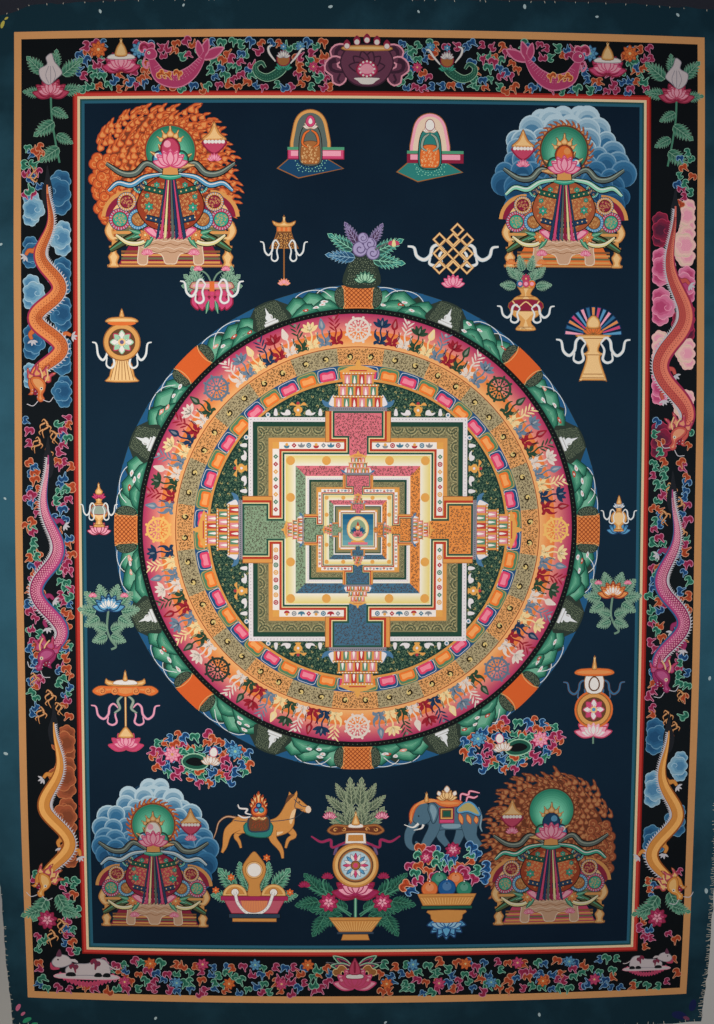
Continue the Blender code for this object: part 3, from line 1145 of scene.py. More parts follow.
PIGMENTS.update(flame_brown="#7a3f2a", flame_deep="#9c4029", flame_mid="#cf6233", flame_light="#e29255",
    slab_blue="#24405f", scarf_olive="#4d5a3c", black_line="#1a1512", ember_deep="#6e3a28",
    ember_mid="#a8593a", ember_light="#cf8a5a", cloud_deep="#1b4468", cloud_mid="#356d96",
    cloud_pale="#8fb6cc", cloud_line="#b3cddb", halo_deep="#2b7a62", halo_light="#6fc0a0",
    throne_gold="#d99a58", throne_light="#eec389", throne_brown="#8f5c38", throne_olive="#6f6f4e",
    crimson="#8e2440", crimson_light="#c24766", scarf_teal="#3fa58c", scarf_teal_light="#8fd2b6",
    scarf_grey="#5d6a66", scarf_grey_light="#98a598", ribbon_cream="#e3d79c", ribbon_shade="#b3a468",
    brocade="#a86a3c", brocade_light="#d8a468", navy_paint="#1e3a62", sky_paint="#5b9cc4",
    white_paint="#e8e4e0", rose="#cf4b78", rose_light="#efa3b8", orange_paint="#e07238",
    leaf_deep="#22594a", leaf_mid="#4f9a78", leaf_pale="#9fcdae", linen="#c9a184", linen_light="#e6cdb6")


def shaded_strip(motif, path, width, edge, middle, core=None):
    """Ribbon or scarf: a broad stroke, a narrower one on it, and a thin light line."""
    path = curve(path, 5)
    taper = np.sin(math.pi * np.linspace(0.12, 0.9, len(path))) ** 0.6
    motif.stroke(edge, path, width * taper)
    motif.stroke(middle, path, width * 0.68 * taper)
    if core:
        motif.stroke(core, path + width * 0.12j, width * 0.16 * taper)
    return motif


def petal(length, width, colours):
    """Pointed petal from the origin upwards, darker at its rim."""
    outline = smooth(spread("0,0 -.42,.3 -.46,.62 0,1 .46,.62 .42,.3", width, length))
    leaf = Motif().fill(colours[0], outline)
    return leaf.fill(colours[1], inset(outline, width * 0.13))


def lotus(width, colours=("rose", "rose_light"), rows=2):
    """Lotus seen from the side, its petals spread like a crown over the origin."""
    flower = Motif()
    for row in range(rows):
        count = 7 - 2 * row
        long = width * (0.52 - 0.07 * row)
        for number in sorted(range(count), key=lambda n: -abs(n - (count - 1) / 2)):
            lean = (number - (count - 1) / 2) / (count - 1) * (150 - 40 * row)
            flower.put(petal(long, width * 0.24, colours), turn=-lean)
    return flower


def blossom(radius, colours=("rose", "rose_light", "throne_light"), petals=8):
    """Open flower seen from the front."""
    flower = Motif()
    for reach, start in ((1, 0), (0.68, 0.5)):
        for number in range(petals):
            turn = 360 * (number + start) / petals
            tip = petal(radius * reach, radius * reach * 0.62, (colours[0], colours[1]))
            flower.put(tip, turn=turn, beside=number < petals - 1)
    flower.fill(colours[2], disc(0, radius * 0.17, 8))
    return flower


def leaf(length, bend=0.25, colours=("leaf_deep", "leaf_mid", "leaf_pale")):
    """Single leaf from the origin upwards, bent to one side, with a pale midrib."""
    spine = np.array([0, bend * 0.35 + 0.4j, bend * 0.75 + 0.75j, bend + 1j]) * length
    wide = length * 0.17
    outline = smooth([spine[0], spine[1] - wide, spine[2] - wide * 0.7, spine[3], spine[2] + wide * 0.7,
        spine[1] + wide])
    blade = Motif().fill(colours[0], outline).fill(colours[1], inset(outline, wide * 0.28))
    return blade.stroke(colours[2], curve(spine), wide * 0.22)


def flame(size, lean=0.2, colours=("flame_deep", "flame_mid", "flame_light")):
    """Curling tongue of flame from the origin upwards."""
    wide = size * 0.42
    outline = smooth([-0.5 * wide, -0.72 * wide + 0.28j * size, -0.3 * wide + 0.55j * size,
        (lean * 0.3 - 0.1) * size + 0.8j * size, lean * size + 1j * size,
        (lean * 0.6 + 0.08) * size + 0.74j * size, 0.34 * wide + 0.5j * size, 0.78 * wide + 0.26j * size,
        0.5 * wide])
    tongue = Motif().fill(colours[0], outline).fill(colours[1], inset(outline, size * 0.045))
    return tongue.fill(colours[2], inset(outline, size * 0.13))


def whorl(radius, colours):
    """Round puff of flame or cloud with a spiral in it."""
    puff = Motif().fill(colours[0], disc(0, radius, 16)).fill(colours[1], disc(0, radius * 0.86, 16))
    t = np.linspace(0, 1, 14)
    return puff.stroke(colours[2], radius * (0.15 + 0.6 * t) * np.exp(2j * math.pi * (1.1 * t + 0.1)),
        radius * 0.16)


def egg(centre, half_width, half_height, sides=28):
    """Upright ellipse, a little pointed at its top."""
    ring = disc(0, 1, sides)
    return centre + ring.real * half_width * (1 - 0.12 * ring.imag) + 1j * ring.imag * half_height


def lay_rows(motif, items, layers):
    """Lay many like motifs row by row; neighbours in a row alternate between two sets of coats.

    items are (row, place, motif, turn), and each of the motifs has so many layers.
    """
    for row in sorted({item[0] for item in items}):
        line = sorted((item for item in items if item[0] == row), key=lambda item: item[1].real)
        for part in (line[::2], line[1::2]):
            for _, place, other, turn in part:
                motif.put(other, place, turn, beside=True)
            motif.coat += layers
    return motif


def fire_aureole(centre, half_width, half_height, colours, seed):
    """Field of flames behind a halo, with round puffs of fire at its lower left."""
    chance = random.Random(seed)
    fire = Motif().fill("flame_brown", egg(centre, half_width * 0.9, half_height * 0.93, 40))
    places = spots(lambda p: (np.abs(p.real - centre.real) / half_width) ** 2.5
        + (np.abs(p.imag - centre.imag) / half_height) ** 2.5 < 0.95,
        (centre.real - half_width, centre.real + half_width, 34, centre.imag + half_height), 7.4, seed)
    items = []
    for place in places:
        out = place - centre
        reach = max(abs(out.real) / half_width, abs(out.imag) / half_height)
        angle = math.degrees(math.atan2(out.imag * 0.6 + 46, out.real * 0.8)) - 90
        if out.real < -half_width * 0.62 and out.imag < half_height * 0.35:
            items.append((-int(reach * 8), place, whorl(chance.uniform(5.4, 7), colours), 0))
        else:
            tongue = flame(chance.uniform(10, 14.5), chance.uniform(0.2, 0.6), colours)
            items.append((-int(reach * 8), place, tongue, angle - 24 + chance.uniform(-14, 14)))
    return lay_rows(fire, items, 3)


def dimmed(motif, share):
    """The motif with each plain pigment broken with a share of black, as if it lay in shade."""
    motif.patches = [(name if "~" in name else mixed(name, "black_line", share), coat, points, triangles)
        for name, coat, points, triangles in motif.patches]
    return motif


def cloud_aureole(centre, half_width, half_height, seed):
    """Bank of blue clouds behind a halo, pale at its crown."""
    chance = random.Random(seed)
    bank = Motif().fill("cloud_deep", egg(centre, half_width * 0.9, half_height * 0.93, 40))
    places = spots(lambda p: (np.abs(p.real - centre.real) / half_width) ** 2.2
        + (np.abs(p.imag - centre.imag) / half_height) ** 1.8 < 0.86,
        (centre.real - half_width, centre.real + half_width, 40, centre.imag + half_height), 14, seed)
    items = []
    for place in places:
        share = min(1, max(0, (place.imag - centre.imag) / half_height * 0.6 + 0.4))
        radius = chance.uniform(10, 15)
        puff = Motif()
        for edge, low, size in ((0.42, 0, 1), (0.22, 0.06, 0.92), (0.06, 0.2, 0.8), (-0.08, 0.34, 0.62)):
            light = round(min(1, max(0, share * 1.15 - 0.22 + edge)), 1)
            puff.fill(mixed("cloud_deep", "cloud_mid", 2 * light) if light < 0.5
                else mixed("cloud_mid", "cloud_line", 2 * light - 1),
                disc(-low * 1j * radius, radius * size, 18))
        items.append((-int(place.imag / 9), place, puff, 0))
    return lay_rows(bank, items, 4)


def halo(radius, ring_colours):
    """Green halo, lighter towards its foot, in a ring of small flames."""
    glory = Motif()
    for number in range(30):
        turn = 12 * number
        at = radius * 0.97 * heading(turn + 90)
        glory.put(flame(radius * 0.34, 0.35, ring_colours), at, turn - 18, beside=number < 29)
    glory.fill(ring_colours[0], disc(0, radius * 1.03, 36))
    for step in range(7):
        share = step / 6
        glory.fill(mixed("halo_deep", "halo_light", share),
            disc(-0.2j * radius * share, radius * (0.97 - 0.42 * share), 36))
    return glory


def throne(width, cushion):
    """Gold throne: foot, striped cloth between two turned legs, seat and raised ends."""
    half = width / 2
    seat = Motif()
    seat.fill("throne_brown", box(-half, half, 0, 3)).fill("throne_gold", box(-half, half, 1, 2.6))
    seat.fill(cushion, [-half * 0.82 + 3j, half * 0.82 + 3j, half * 0.62 + 27j, -half * 0.62 + 27j])
    for high, colour in ((4, "throne_gold"), (8, "throne_olive"), (11.5, "throne_gold"),
            (15, "throne_brown")):
        seat.fill(colour, box(-half * 0.78, half * 0.78, high, high + 2.2))
    for side in (-1, 1):
        knob = [side * half * 0.9 + x + 1j * y for x, y in ((-6, 0), (6, 0), (4, 5), (6, 11), (3, 16),
            (5, 22), (-5, 22), (-3, 16), (-6, 11), (-4, 5))]
        seat.shade(smooth(knob), "throne_brown", "throne_gold .7", "throne_light 2.2")
        ear = smooth([side * (half - 9) + 27j, side * (half - 2) + 28j, side * (half + 3) + 38j,
            side * (half - 4) + 50j, side * (half - 12) + 44j, side * (half - 6) + 38j], 4)
        seat.shade(ear, "throne_brown", "throne_gold .6", "throne_light 2")
        wedge = [side * half * 0.3 + 50j, side * (half - 6) + 50j, side * half * 0.42 + 72j]
        seat.fill("throne_gold", [side * half * 0.26 + 49j, side * (half - 2) + 49j,
            side * half * 0.42 + 76j])
        seat.fill(cushion, wedge)
    seat.fill("throne_olive", box(-half * 0.86, half * 0.86, 27, 41))
    for low, high, colour in ((22, 27, "throne_gold"), (29, 31, "throne_light"), (34, 37, "throne_gold"),
            (41, 46, "throne_gold"), (42.5, 44, "throne_brown"), (46, 49, "throne_light")):
        seat.fill(colour, box(-half * 0.93, half * 0.93, low, high))
    cloth = smooth("-31,34 -33,20 -34,4 -24,3 -22,14 -10,13 -6,4 0,3 |")
    seat.shade(cloth, "linen_light", "linen 1")
    for row in range(5):
        high = 31 - 3.8 * row
        line = [complex(x, high + 1.2 * math.sin(x * 0.45 + row)) for x in np.linspace(-30, 30, 17)]
        seat.stroke("linen_light" if row % 2 else "throne_brown", line, 0.6, up=not row)
    return seat


def mirrored(motif, other, at=0, turn=0, size=1):
    """Put a motif on the right and its mirror image on the left, on the same coats."""
    motif.put(other, at, turn, size, beside=True)
    return motif.put(other, -np.conj(at), -turn, size, flip=True)


def roundel(radius, ring, middle, dots):
    """Round bolster end: a pleated rim round a patch of brocade."""
    end = Motif().shade(disc(0, radius, 26), "slab_blue", (ring, 0.7))
    for number in range(22):
        spoke = radius * np.exp(2j * math.pi * number / 22)
        end.stroke("cloud_line", [spoke * 0.74, spoke * 0.93], 0.7, up=not number)
    end.shade(disc(0, radius * 0.68, 20), "black_line", (middle, 0.6))
    places = spots(lambda p: np.abs(p) < radius * 0.55, (-radius, radius, -radius, radius), 3, 5)
    return end.scatter(dots, curl_mark(2.8, 1, 7), places, np.arange(len(places)) * 77)


def drapes(cuff):
    """Right-hand half of the cloths: striped cushion end, brocade rolls, folded cover and scarves."""
    half = Motif()
    for inner, outer, colour in ((25, 29, "throne_gold"), (19, 25, "crimson"), (15, 19, "throne_light"),
            (0.1, 15, "brocade")):
        half.band(colour, 42 + 50j, inner, outer, 4, 92, step=10, up=0)
    for x, y, radius, ring, middle in ((52, 49, 11.5, "crimson_light", "scarf_teal"),
            (33, 49, 11, "sky_paint", "brocade"), (45, 67, 10, "throne_gold", "crimson"),
            (31, 83, 8, "scarf_teal", "slab_blue")):
        half.put(roundel(radius, ring, middle, "brocade_light"), complex(x, y))
    for path, width, middle, core in ((plotted("6,96 24,106 36,96 50,96 66,106"), 8, "scarf_grey",
            "scarf_grey_light"), (plotted("8,95 26,92 40,84 54,86 64,78"), 7, cuff, "white_paint"),
            (plotted("22,40 34,33 48,26 62,17"), 9.5, "scarf_olive", "leaf_mid"),
            (plotted("20,33 30,25 44,25 56,33"), 6, "ribbon_cream", "white_paint")):
        shaded_strip(half, path, width, "black_line", middle, core)
    for x, y, turn in ((24, 36, -100), (27, 33, -60), (17, 32, -128)):
        half.put(leaf(16, 0.2), complex(x, y), turn)
    return half.put(blossom(7, ("flame_deep", "flame_light", "ribbon_cream")), 26 + 33j)


def treasure_vase(jewel_colours, belly, cuff):
    """Round vase on a lotus, hung with a striped sash and filled with jewels, among brocade rolls."""
    heap = mirrored(Motif(), drapes(cuff))
    heap.put(lotus(54), 32j)
    body = smooth("-14,38 -29,48 -35,64 -27,82 -10,93 |", 4)
    heap.shade(body, "black_line", (belly, 0.9), (mixed(belly, "brocade_light", 0.2), 8))
    places = spots(lambda p: (p.real / 31) ** 2 + ((p.imag - 64) / 24) ** 2 < 1, (-30, 30, 42, 88), 4.2,
        13)
    heap.scatter("brocade_light", curl_mark(3.2, 1.1, 8), places, np.arange(len(places)) * 53)
    for height, half_width, colour in ((47, 25, "slab_blue"), (77, 27, "leaf_deep")):
        girth = curve([-half_width + (height + 4) * 1j, (height - 1) * 1j,
            half_width + (height + 4) * 1j], 5)
        heap.stroke("black_line", girth, 6.4)
        heap.stroke(colour, girth, 5)
        heap.scatter("throne_light", dot_mark(0.9, 6), girth)
    for x, y, radius in ((-22, 62, 5), (-14, 84, 3.6), (23, 61, 5.4), (15, 84, 3.4), (-24, 73, 3),
            (25, 72, 3.2)):
        heap.put(blossom(radius, ("leaf_deep", "scarf_teal", "rose_light"), 6), complex(x, y),
            beside=x != -22)
    for number, tone in enumerate(("slab_blue", "rose", "ribbon_cream", "crimson", "scarf_grey",
            "navy_paint", "rose", "slab_blue")):
        x = -10.5 + 3 * number
        sash = [x * 0.4 - 0.8 + 92j, x * 0.4 + 0.8 + 92j, x * 1.35 + 2.2 + 31j, x * 1.35 - 1.2 + 28j]
        heap.put(Motif().shade(sash, "black_line", (tone, 0.35)), beside=number > 0)
    heap.shade("-9,92 9,92 8,101 14,106 -14,106 -8,101", "black_line", "throne_gold .7")
    shaded_strip(heap, "-11,93 0,91.5 |", 5.6, "leaf_deep", "scarf_teal", "scarf_teal_light")
    for turn in (-76, 70, -48, 44):
        heap.put(leaf(24, 0.25, ("throne_brown", "brocade_light", "throne_light")), 104j, turn,
            beside=turn != -76)
    for x, y, radius, colours in ((-11, 111, 8, ("slab_blue", "sky_paint", "white_paint")),
            (11, 111, 8, ("leaf_deep", "scarf_teal", "white_paint")), (0, 122, 10.5, jewel_colours)):
        heap.shade(egg(complex(x, y), radius, radius * 1.05, 22), "black_line", (colours[0], 0.5),
            (colours[1], 2))
        heap.fill(colours[2], egg(complex(x - 0.3 * radius, y + 0.35 * radius), radius * 0.35,
            radius * 0.35, 12))
    heap.put(lotus(36), 103j)
    for lean, size in ((-50, 8), (50, 8), (-26, 10), (26, 10), (0, 13)):
        tip = 122j + 10.5j * np.exp(-1j * math.radians(lean))
        heap.put(flame(size, 0, ("throne_brown", "throne_gold", "throne_light")), tip, -lean,
            beside=lean != 0)
    mirrored(heap, lotus(13), 24 + 13j)
    canopy = Motif().shade("~ -13,2 -6,9 -3,15 0,21 | 0,.5", "throne_brown", "throne_gold .8",
        "throne_light 2.6")
    canopy.shade("~ -12,1 -10,-6 -3,-12 |", "crimson", "crimson_light 1.6")
    canopy.scatter("white_paint", dot_mark(2, 8), np.arange(-9, 10, 3.6) + 0j)
    canopy.put(lotus(15), -19j)
    return heap.put(canopy, 45 + 128j)


red_flames = ("flame_deep", "flame_mid", "flame_light")
dull_flames = ("ember_deep", "ember_mid", "ember_light")
CORNERS = {"upper_thrones": ((-191.5 - 237j, 0.98, False, fire_aureole(-8 + 86j, 73, 77, red_flames, 5),
    119j, "crimson", ("crimson", "crimson_light", "rose_light"), "flame_deep", "sky_paint"),
    (205 - 235.5j, 0.93, True, cloud_aureole(95j, 71, 79, 6), 127j, "orange_paint",
    ("flame_deep", "orange_paint", "flame_light"), "ember_mid", "scarf_teal_light")),
    "lower_thrones": ((-213 - 917j, 0.86, False, cloud_aureole(96j, 70, 90, 8), 128j, "crimson",
    ("linen", "white_paint", "rose_light"), "crimson", "cloud_pale"),
    (199 - 916j, 0.91, True, fire_aureole(92j, 74, 84, dull_flames, 9), 135j, "crimson_light",
    ("navy_paint", "cloud_deep", "sky_paint"), "flame_deep", "scarf_teal"))}
for name, groups in CORNERS.items():
    corners = Motif()
    for at, size, flip, aureole, halo_at, cushion, jewel_colours, belly, cuff in groups:
        group = Motif().put(aureole)
        group.put(halo(26, dull_flames if flip else red_flames), halo_at)
        group.put(throne(130, cushion))
        group.put(treasure_vase(jewel_colours, belly, cuff))
        corners.put(dimmed(group, 0.2) if name == "lower_thrones" else group, at, 0, size, flip,
            beside=True)
    lay_paint(name, corners)

# Emblems in the field
# Lucky emblems stand free on the indigo: banner, knot, wheel, parasol, vases, fans and lotus sprays
# in gold, white and rose, most of them tied with a fluttering ribbon.

PIGMENTS.update(gold="#dba05c", gold_light="#efc68c", gold_deep="#9a6436", teal_paint="#2f7f7a",
    violet="#6a5c86", plum="#6a3a52", plum_deep="#3d2236", violet_light="#a79cc4", grey_leaf="#6f8f7c",
    sepia="#6b4630", fern="#4c8c72", fern_deep="#1d4238", fern_pale="#93c2a8", scroll_orange="#bf4d2b",
    scroll_orange_rim="#e0a483", scroll_rose="#a32d5a", scroll_rose_rim="#dc93b2", scroll_blue="#1d5690",
    scroll_blue_rim="#8fb9da", scroll_green="#2f8068", scroll_green_rim="#98d0b8")
GREY_LEAF = ("leaf_pale", "grey_leaf", "leaf_deep")


def fern(length, spread=0.8, colours=("fern_pale", "fern", "fern_deep")):
    """Broad toothed leaf from the origin upwards, dark at its foot and pale at its teeth."""
    side = []
    for number in range(7):
        share = (number + 0.5) / 7
        wide = length * spread * 0.52 * math.sin(math.pi * (0.2 + 0.74 * share ** 0.9)) ** 0.9
        side += [wide * 0.58 + 1j * length * (share + 0), wide + 1j * length * (share + 0.19)]
    side = np.array(side)
    outline = np.concatenate([[0], side, [1.28j * length], -np.conj(side[::-1])])
    blade = Motif().fill(colours[0], outline).fill(colours[1], inset(outline, length * 0.022))
    foot = length * smooth("0,0 .17,.22 .14,.5 .03,.86 -.05,.84 -.14,.48 -.17,.22", 2)
    blade.fill(mixed(colours[1], colours[2], 0.6), foot).stroke(colours[0], [0, 1.1j * length],
        length * 0.03)
    for share in (0.22, 0.4, 0.58, 0.76):
        for way in (-1, 1):
            reach = length * (way * spread * (0.44 - 0.22 * share) + 1j * (share + 0.26))
            blade.stroke(colours[0], [1j * share * length, reach], length * 0.018, up=0)
    return blade


def peony(radius):
    """Full pink peony with a paler heart."""
    flower = Motif()
    for ring, share in enumerate((1, 0.78, 0.54)):
        for number in range(9 - 2 * ring):
            tip = petal(radius * share, radius * share * 0.62,
                ("crimson", ("scroll_rose", "rose", "rose_light")[ring]))
            flower.put(tip, turn=360 * number / (9 - 2 * ring) + 18 * ring, beside=number < 8 - 2 * ring)
    return flower


def gilt(motif, outline):
    """Gold leaf shape: dark rim, gold, and a light heart."""
    return motif.shade(outline, "gold_deep", "gold .7", "gold_light 2")


def ribbons(width, height, colours=("cloud_line", "white_paint")):
    """Pair of fluttering ribbons from a knot at the origin."""
    half = Motif()
    for path, thick in ((plotted(".2,0 .34,.3 .46,.1 .5,-.4 .64,-.7 .8,-.45 .86,.1 1,.2"), 0.085),
            (plotted(".2,0 .3,-.4 .26,-.9 .38,-1.1 .52,-.95 .5,-.55"), 0.075)):
        path = [complex(p.real * width, p.imag * height) for p in np.array(path, complex)]
        shaded_strip(half, path, width * thick, *colours)
    return mirrored(Motif(), half)


def banner():
    """Victory banner: finial, crown, orange drum and three dotted skirts on a pole."""
    flag = Motif().stroke("gold_deep", [-34j, 0j], 1.4)
    flag.put(lotus(13, ("flame_light", "rose_light")), -36j)
    for low, half_low, half_high, high in ((0, 15, 11, 8), (5, 12, 8.5, 13), (10, 9.5, 7.5, 17)):
        skirt = [-half_low + 1j * low, half_low + 1j * low, half_high + 1j * high, -half_high + 1j * high]
        flag.shade(skirt, "gold_deep", "sepia .7")
        flag.scatter("gold", dot_mark(0.6, 6), spots(lambda p: np.abs(p.real) < half_high
            + (high - p.imag) * (half_low - half_high) / (high - low) - 1.2, (-15, 15, low + 1, high - 1),
            2.1, 4))
    flag.shade(box(-7.5, 7.5, 17, 22), "gold_deep", "orange_paint .5")
    for x in (-4.5, 0, 4.5):
        flag.fill("flame_light", box(x - 1.1, x + 1.1, 17.4, 21.6), up=0 if x > -4 else 1)
    gilt(flag, "~ -8,22 8,22 12,28 6,26 2,27 0,34 -2,27 -6,26 -12,28")
    return flag.put(ribbons(24, 15), 4j)


def knot():
    """Endless knot of one gold band, with a ribbon through it, on a small lotus."""
    sign = Motif().put(ribbons(46, 15), 4j)
    for x, y, wide, tall in ((0, 0, 3, 1), (0, 0, 1, 3), (-2, 0, 1, 1), (2, 0, 1, 1), (0, 2, 1, 1),
            (0, -2, 1, 1), (-1, -1, 1, 1), (1, 1, 1, 1), (1, -1, 1, 1), (-1, 1, 1, 1), (2, 1.4, 1, 1)):
        band_line = (box(-wide / 2, wide / 2, -tall / 2, tall / 2) + complex(x, y) * 0.93) * 10.6
        band_line = band_line * np.exp(1j * math.pi / 4)
        sign.rim("gold_deep", band_line, 2.3).rim("gold_light", inset(band_line, 0.4), 1.4)
    return sign.put(lotus(24), -33j)


def bundle():
    """Rose-coloured treasure bundle on a lotus, tied with white ribbons, with leaves round it."""
    pile = Motif()
    for number, turn in enumerate((20, 50, 82)):
        mirrored(pile, fern(19 - 2 * number, 0.8, GREY_LEAF), 12 + 4j, -turn)
    mirrored(pile, Motif().stroke("grey_leaf", curve("0,8 5,18 13,23", 5), 1.6).put(lotus(10), 14 + 22j),
        0)
    for number in range(7):
        pile.put(petal(17, 10, ("crimson", "rose", "rose_light")), -2j + (number - 3) * 6.4,
            (3 - number) * 6 + 180, beside=number > 0)
    pile.shade("~ -19,3 19,3 21,9 15,11 -15,11 -21,9", "crimson", "linen .8", "rose_light 2.6")
    for x in range(-18, 19, 6):
        pile.put(jewel(("crimson_light", "rose"), 3.6), x - 1j, beside=x < 18)
    pile.fill("orange_paint", box(-2.5, 2.5, 1, 11))
    mirrored(pile, leaf(13, 0.3), 3 - 8j, -150)
    return pile.put(ribbons(32, 17), 8j)


def vase(height, belly, colours=("gold_deep", "gold", "gold_light")):
    """Round-bellied vase with a foot and a flared lip."""
    w = belly / 2
    outline = smooth(spread("-.5,0 -.62,.06 -.34,.2 -.9,.36 -1,.55 -.72,.72 -.3,.8 -.55,1 |", w, height))
    pot = Motif().shade(outline, colours[0], (colours[1], 0.7), (colours[2], w * 0.28))
    for share in (0.08, 0.74, 0.93):
        pot.stroke(colours[0], [-0.5 * w + 1j * share * height, 0.5 * w + 1j * share * height], 0.9,
            up=0 if share > 0.1 else 1)
    return pot


def flower_vase():
    """Gold vase of green foliage with two orange flowers."""
    plant = Motif()
    for at, turn in ((4 + 22j, -14), (9 + 14j, -48), (12 + 4j, -84), (3 + 8j, -30)):
        mirrored(plant, fern(15, 0.85, GREY_LEAF), at, turn)
    mirrored(plant, lotus(12, ("orange_paint", "flame_light")), 18 + 30j)
    plant.put(blossom(6, ("crimson", "crimson_light", "gold_light")), 13j)
    pot = vase(54, 38).shade("~ -18,24 18,24 16,36 -16,36", "gold_deep", "crimson .8")
    pot.stroke("gold_light", curve("-16,35 -9,28 0,34 |", 5), 1.4)
    for x, tone in ((-7, "cloud_mid"), (0, "crimson_light"), (7, "orange_paint")):
        pot.put(jewel((tone, "rose_light"), 4.2), x + 55j, beside=x > -7)
    plant.put(pot, -48j)
    return plant.put(ribbons(34, 15), -22j)


def wheel_of_spokes(radius, rim, first, second, hub):
    """Wheel with eight coloured spokes between gold rings."""
    disk = Motif().fill("gold_deep", disc(0, radius, 30)).fill(rim, disc(0, radius * 0.94, 30))
    disk.fill("sepia", disc(0, radius * 0.72, 26))
    for number in range(8):
        wedge = petal(radius * 0.64, radius * 0.42, (first, second) if number % 2
            else (second, "white_paint"))
        disk.put(wedge, turn=45 * number, beside=number < 7)
    return disk.put(jewel(("gold_light", hub), radius * 0.2))


def standing_wheel():
    """Eight-spoked wheel under a small parasol, on a pleated gold stand."""
    stand = Motif()
    gilt(stand, "~ -16,-34 16,-34 13,-28 8,-12 -8,-12 -13,-28")
    for x in (-3, -2, -1, 0, 1, 2, 3):
        stand.stroke("gold_deep", [x * 2.2 - 13j, x * 3.9 - 32j], 0.7, up=0 if x > -3 else 1)
    stand.put(ribbons(30, 20), 2j)
    stand.put(wheel_of_spokes(19, "gold", "crimson_light", "leaf_pale", "violet"), 6j)
    gilt(stand, "~ -17,27 -10,31 10,31 17,27 11,25 -11,25")
    stand.fill("orange_paint", "~2 -13,26 13,26 10,23 -10,23")
    return gilt(stand, "~ -2.5,31 2.5,31 2,35 0,40 -2,35")


def feather_pot():
    """Gold pot with a fan of blue, rose and orange feathers."""
    fan = Motif()
    tones = ("sky_paint", "rose", "flame_light", "cloud_mid", "rose_light")
    for number in range(15):
        turn = -84 + 12 * number
        quill = Motif().fill("navy_paint", "-1.2,10 1.2,10 2.3,31 -2.3,31")
        quill.fill(tones[number % 5], "-.6,11 .6,11 1.6,30 -1.6,30")
        fan.put(quill, -4j, turn, beside=number < 14)
    fan.put(lotus(22, ("gold_deep", "orange_paint")), -2j)
    gilt(fan, "~ -6,4 6,4 7,12 0,18 -7,12")
    gilt(fan,
        "~ -11,-52 11,-52 15,-52 9,-34 8,-26 12,-24 6,-20 9,-12 17,-6 17,-3 -17,-3 -17,-6 -9,-12 -6,-20 "
        "-12,-24 -8,-26 -9,-34 -15,-52")
    for height, half_width in ((-49, 12), (-45, 10.5), (-24.5, 9), (-7, 13)):
        fan.stroke("gold_deep", [height * 1j - half_width, height * 1j + half_width], 0.8,
            up=0 if height > -49 else 1)
    return fan.put(ribbons(40, 19), -12j)


def jug():
    """Small gold jug with a rose foot, a grey spout and flames at its lip."""
    pot = Motif().put(lotus(26, ("crimson", "rose_light")), -27j)
    pot.put(vase(34, 19), -20j)
    pot.shade("~2 -8,-6 8,-6 7,3 -7,3", "crimson", "scarf_grey_light .8")
    pot.put(lotus(15, ("crimson", "rose")), 11j)
    pot.put(flame(13, 0, ("gold_deep", "gold", "gold_light")), 15j)
    return pot.put(ribbons(20, 13), 2j)


def small_jar():
    """Small gold jar with a blue lotus lid and a leafy foot."""
    jar = Motif().put(lotus(30, ("navy_paint", "sky_paint")), -22j)
    jar.put(vase(32, 20), -20j)
    jar.put(lotus(15, ("cloud_mid", "white_paint")), 9j)
    gilt(jar, "~ -3,13 3,13 2.4,18 0,24 -2.4,18")
    return jar.put(ribbons(22, 12), 3j)


def lotus_spray(colours):
    """Full lotus over four curled leaves and a hooked stalk."""
    spray = Motif().stroke("grey_leaf", curve("0,8 -2,-14 2,-26 7,-33 2,-36", 5), 2.2)
    for at, turn, size in ((2 - 22j, 112, 13), (2 - 16j, 70, 13), (10 - 3j, 122, 14), (13 + 3j, 82, 15),
            (11 + 10j, 46, 15), (5 + 14j, 16, 14)):
        mirrored(spray, fern(size, 1, GREY_LEAF), at, -turn)
    mirrored(spray, lotus(9), 16 + 18j)
    spray.put(lotus(34, colours), 4j)
    return spray.put(lotus(20, (colours[1], "white_paint")), 7j)


def parasol():
    """Orange cloud-edged parasol on a gold pole, standing in a rose lotus."""
    shade = Motif().stroke("gold_deep", [-28j, 24j], 2.4).stroke("gold_light", [-28j, 24j], 1.2)
    shade.put(lotus(38, ("crimson_light", "rose")), -42j).put(lotus(26), -39j)
    gilt(shade, "~ -8,-29 8,-29 5,-22 0,-17 -5,-22")
    shade.put(ribbons(36, 16, ("violet", "rose_light")), 2j)
    mirrored(shade, shaded_strip(Motif(), "2,16 8,10 6,2 12,-3", 3.6, "leaf_deep", "scarf_grey_light"))
    hood = smooth("-35,20 -28,26 -15,26 0,27 15,26 28,26 35,20 27,15 15,18 0,14 -15,18 -27,15", 4)
    shade.shade(hood, "sepia", "orange_paint .7", "flame_light 3.2")
    for x in (-24, -11, 11, 24):
        shade.put(whorl(4.2, ("orange_paint", "flame_light", "flame_deep")), x + 20.5j, beside=x < 24)
    gilt(shade, "~ -18,26 -20,34 -14,31 |")
    shade.shade("~ -12,27 12,27 9,32 -9,32", "gold_deep", "white_paint .6")
    return gilt(shade, "~ -2.4,31 2.4,31 2,36 0,43 -2,36")


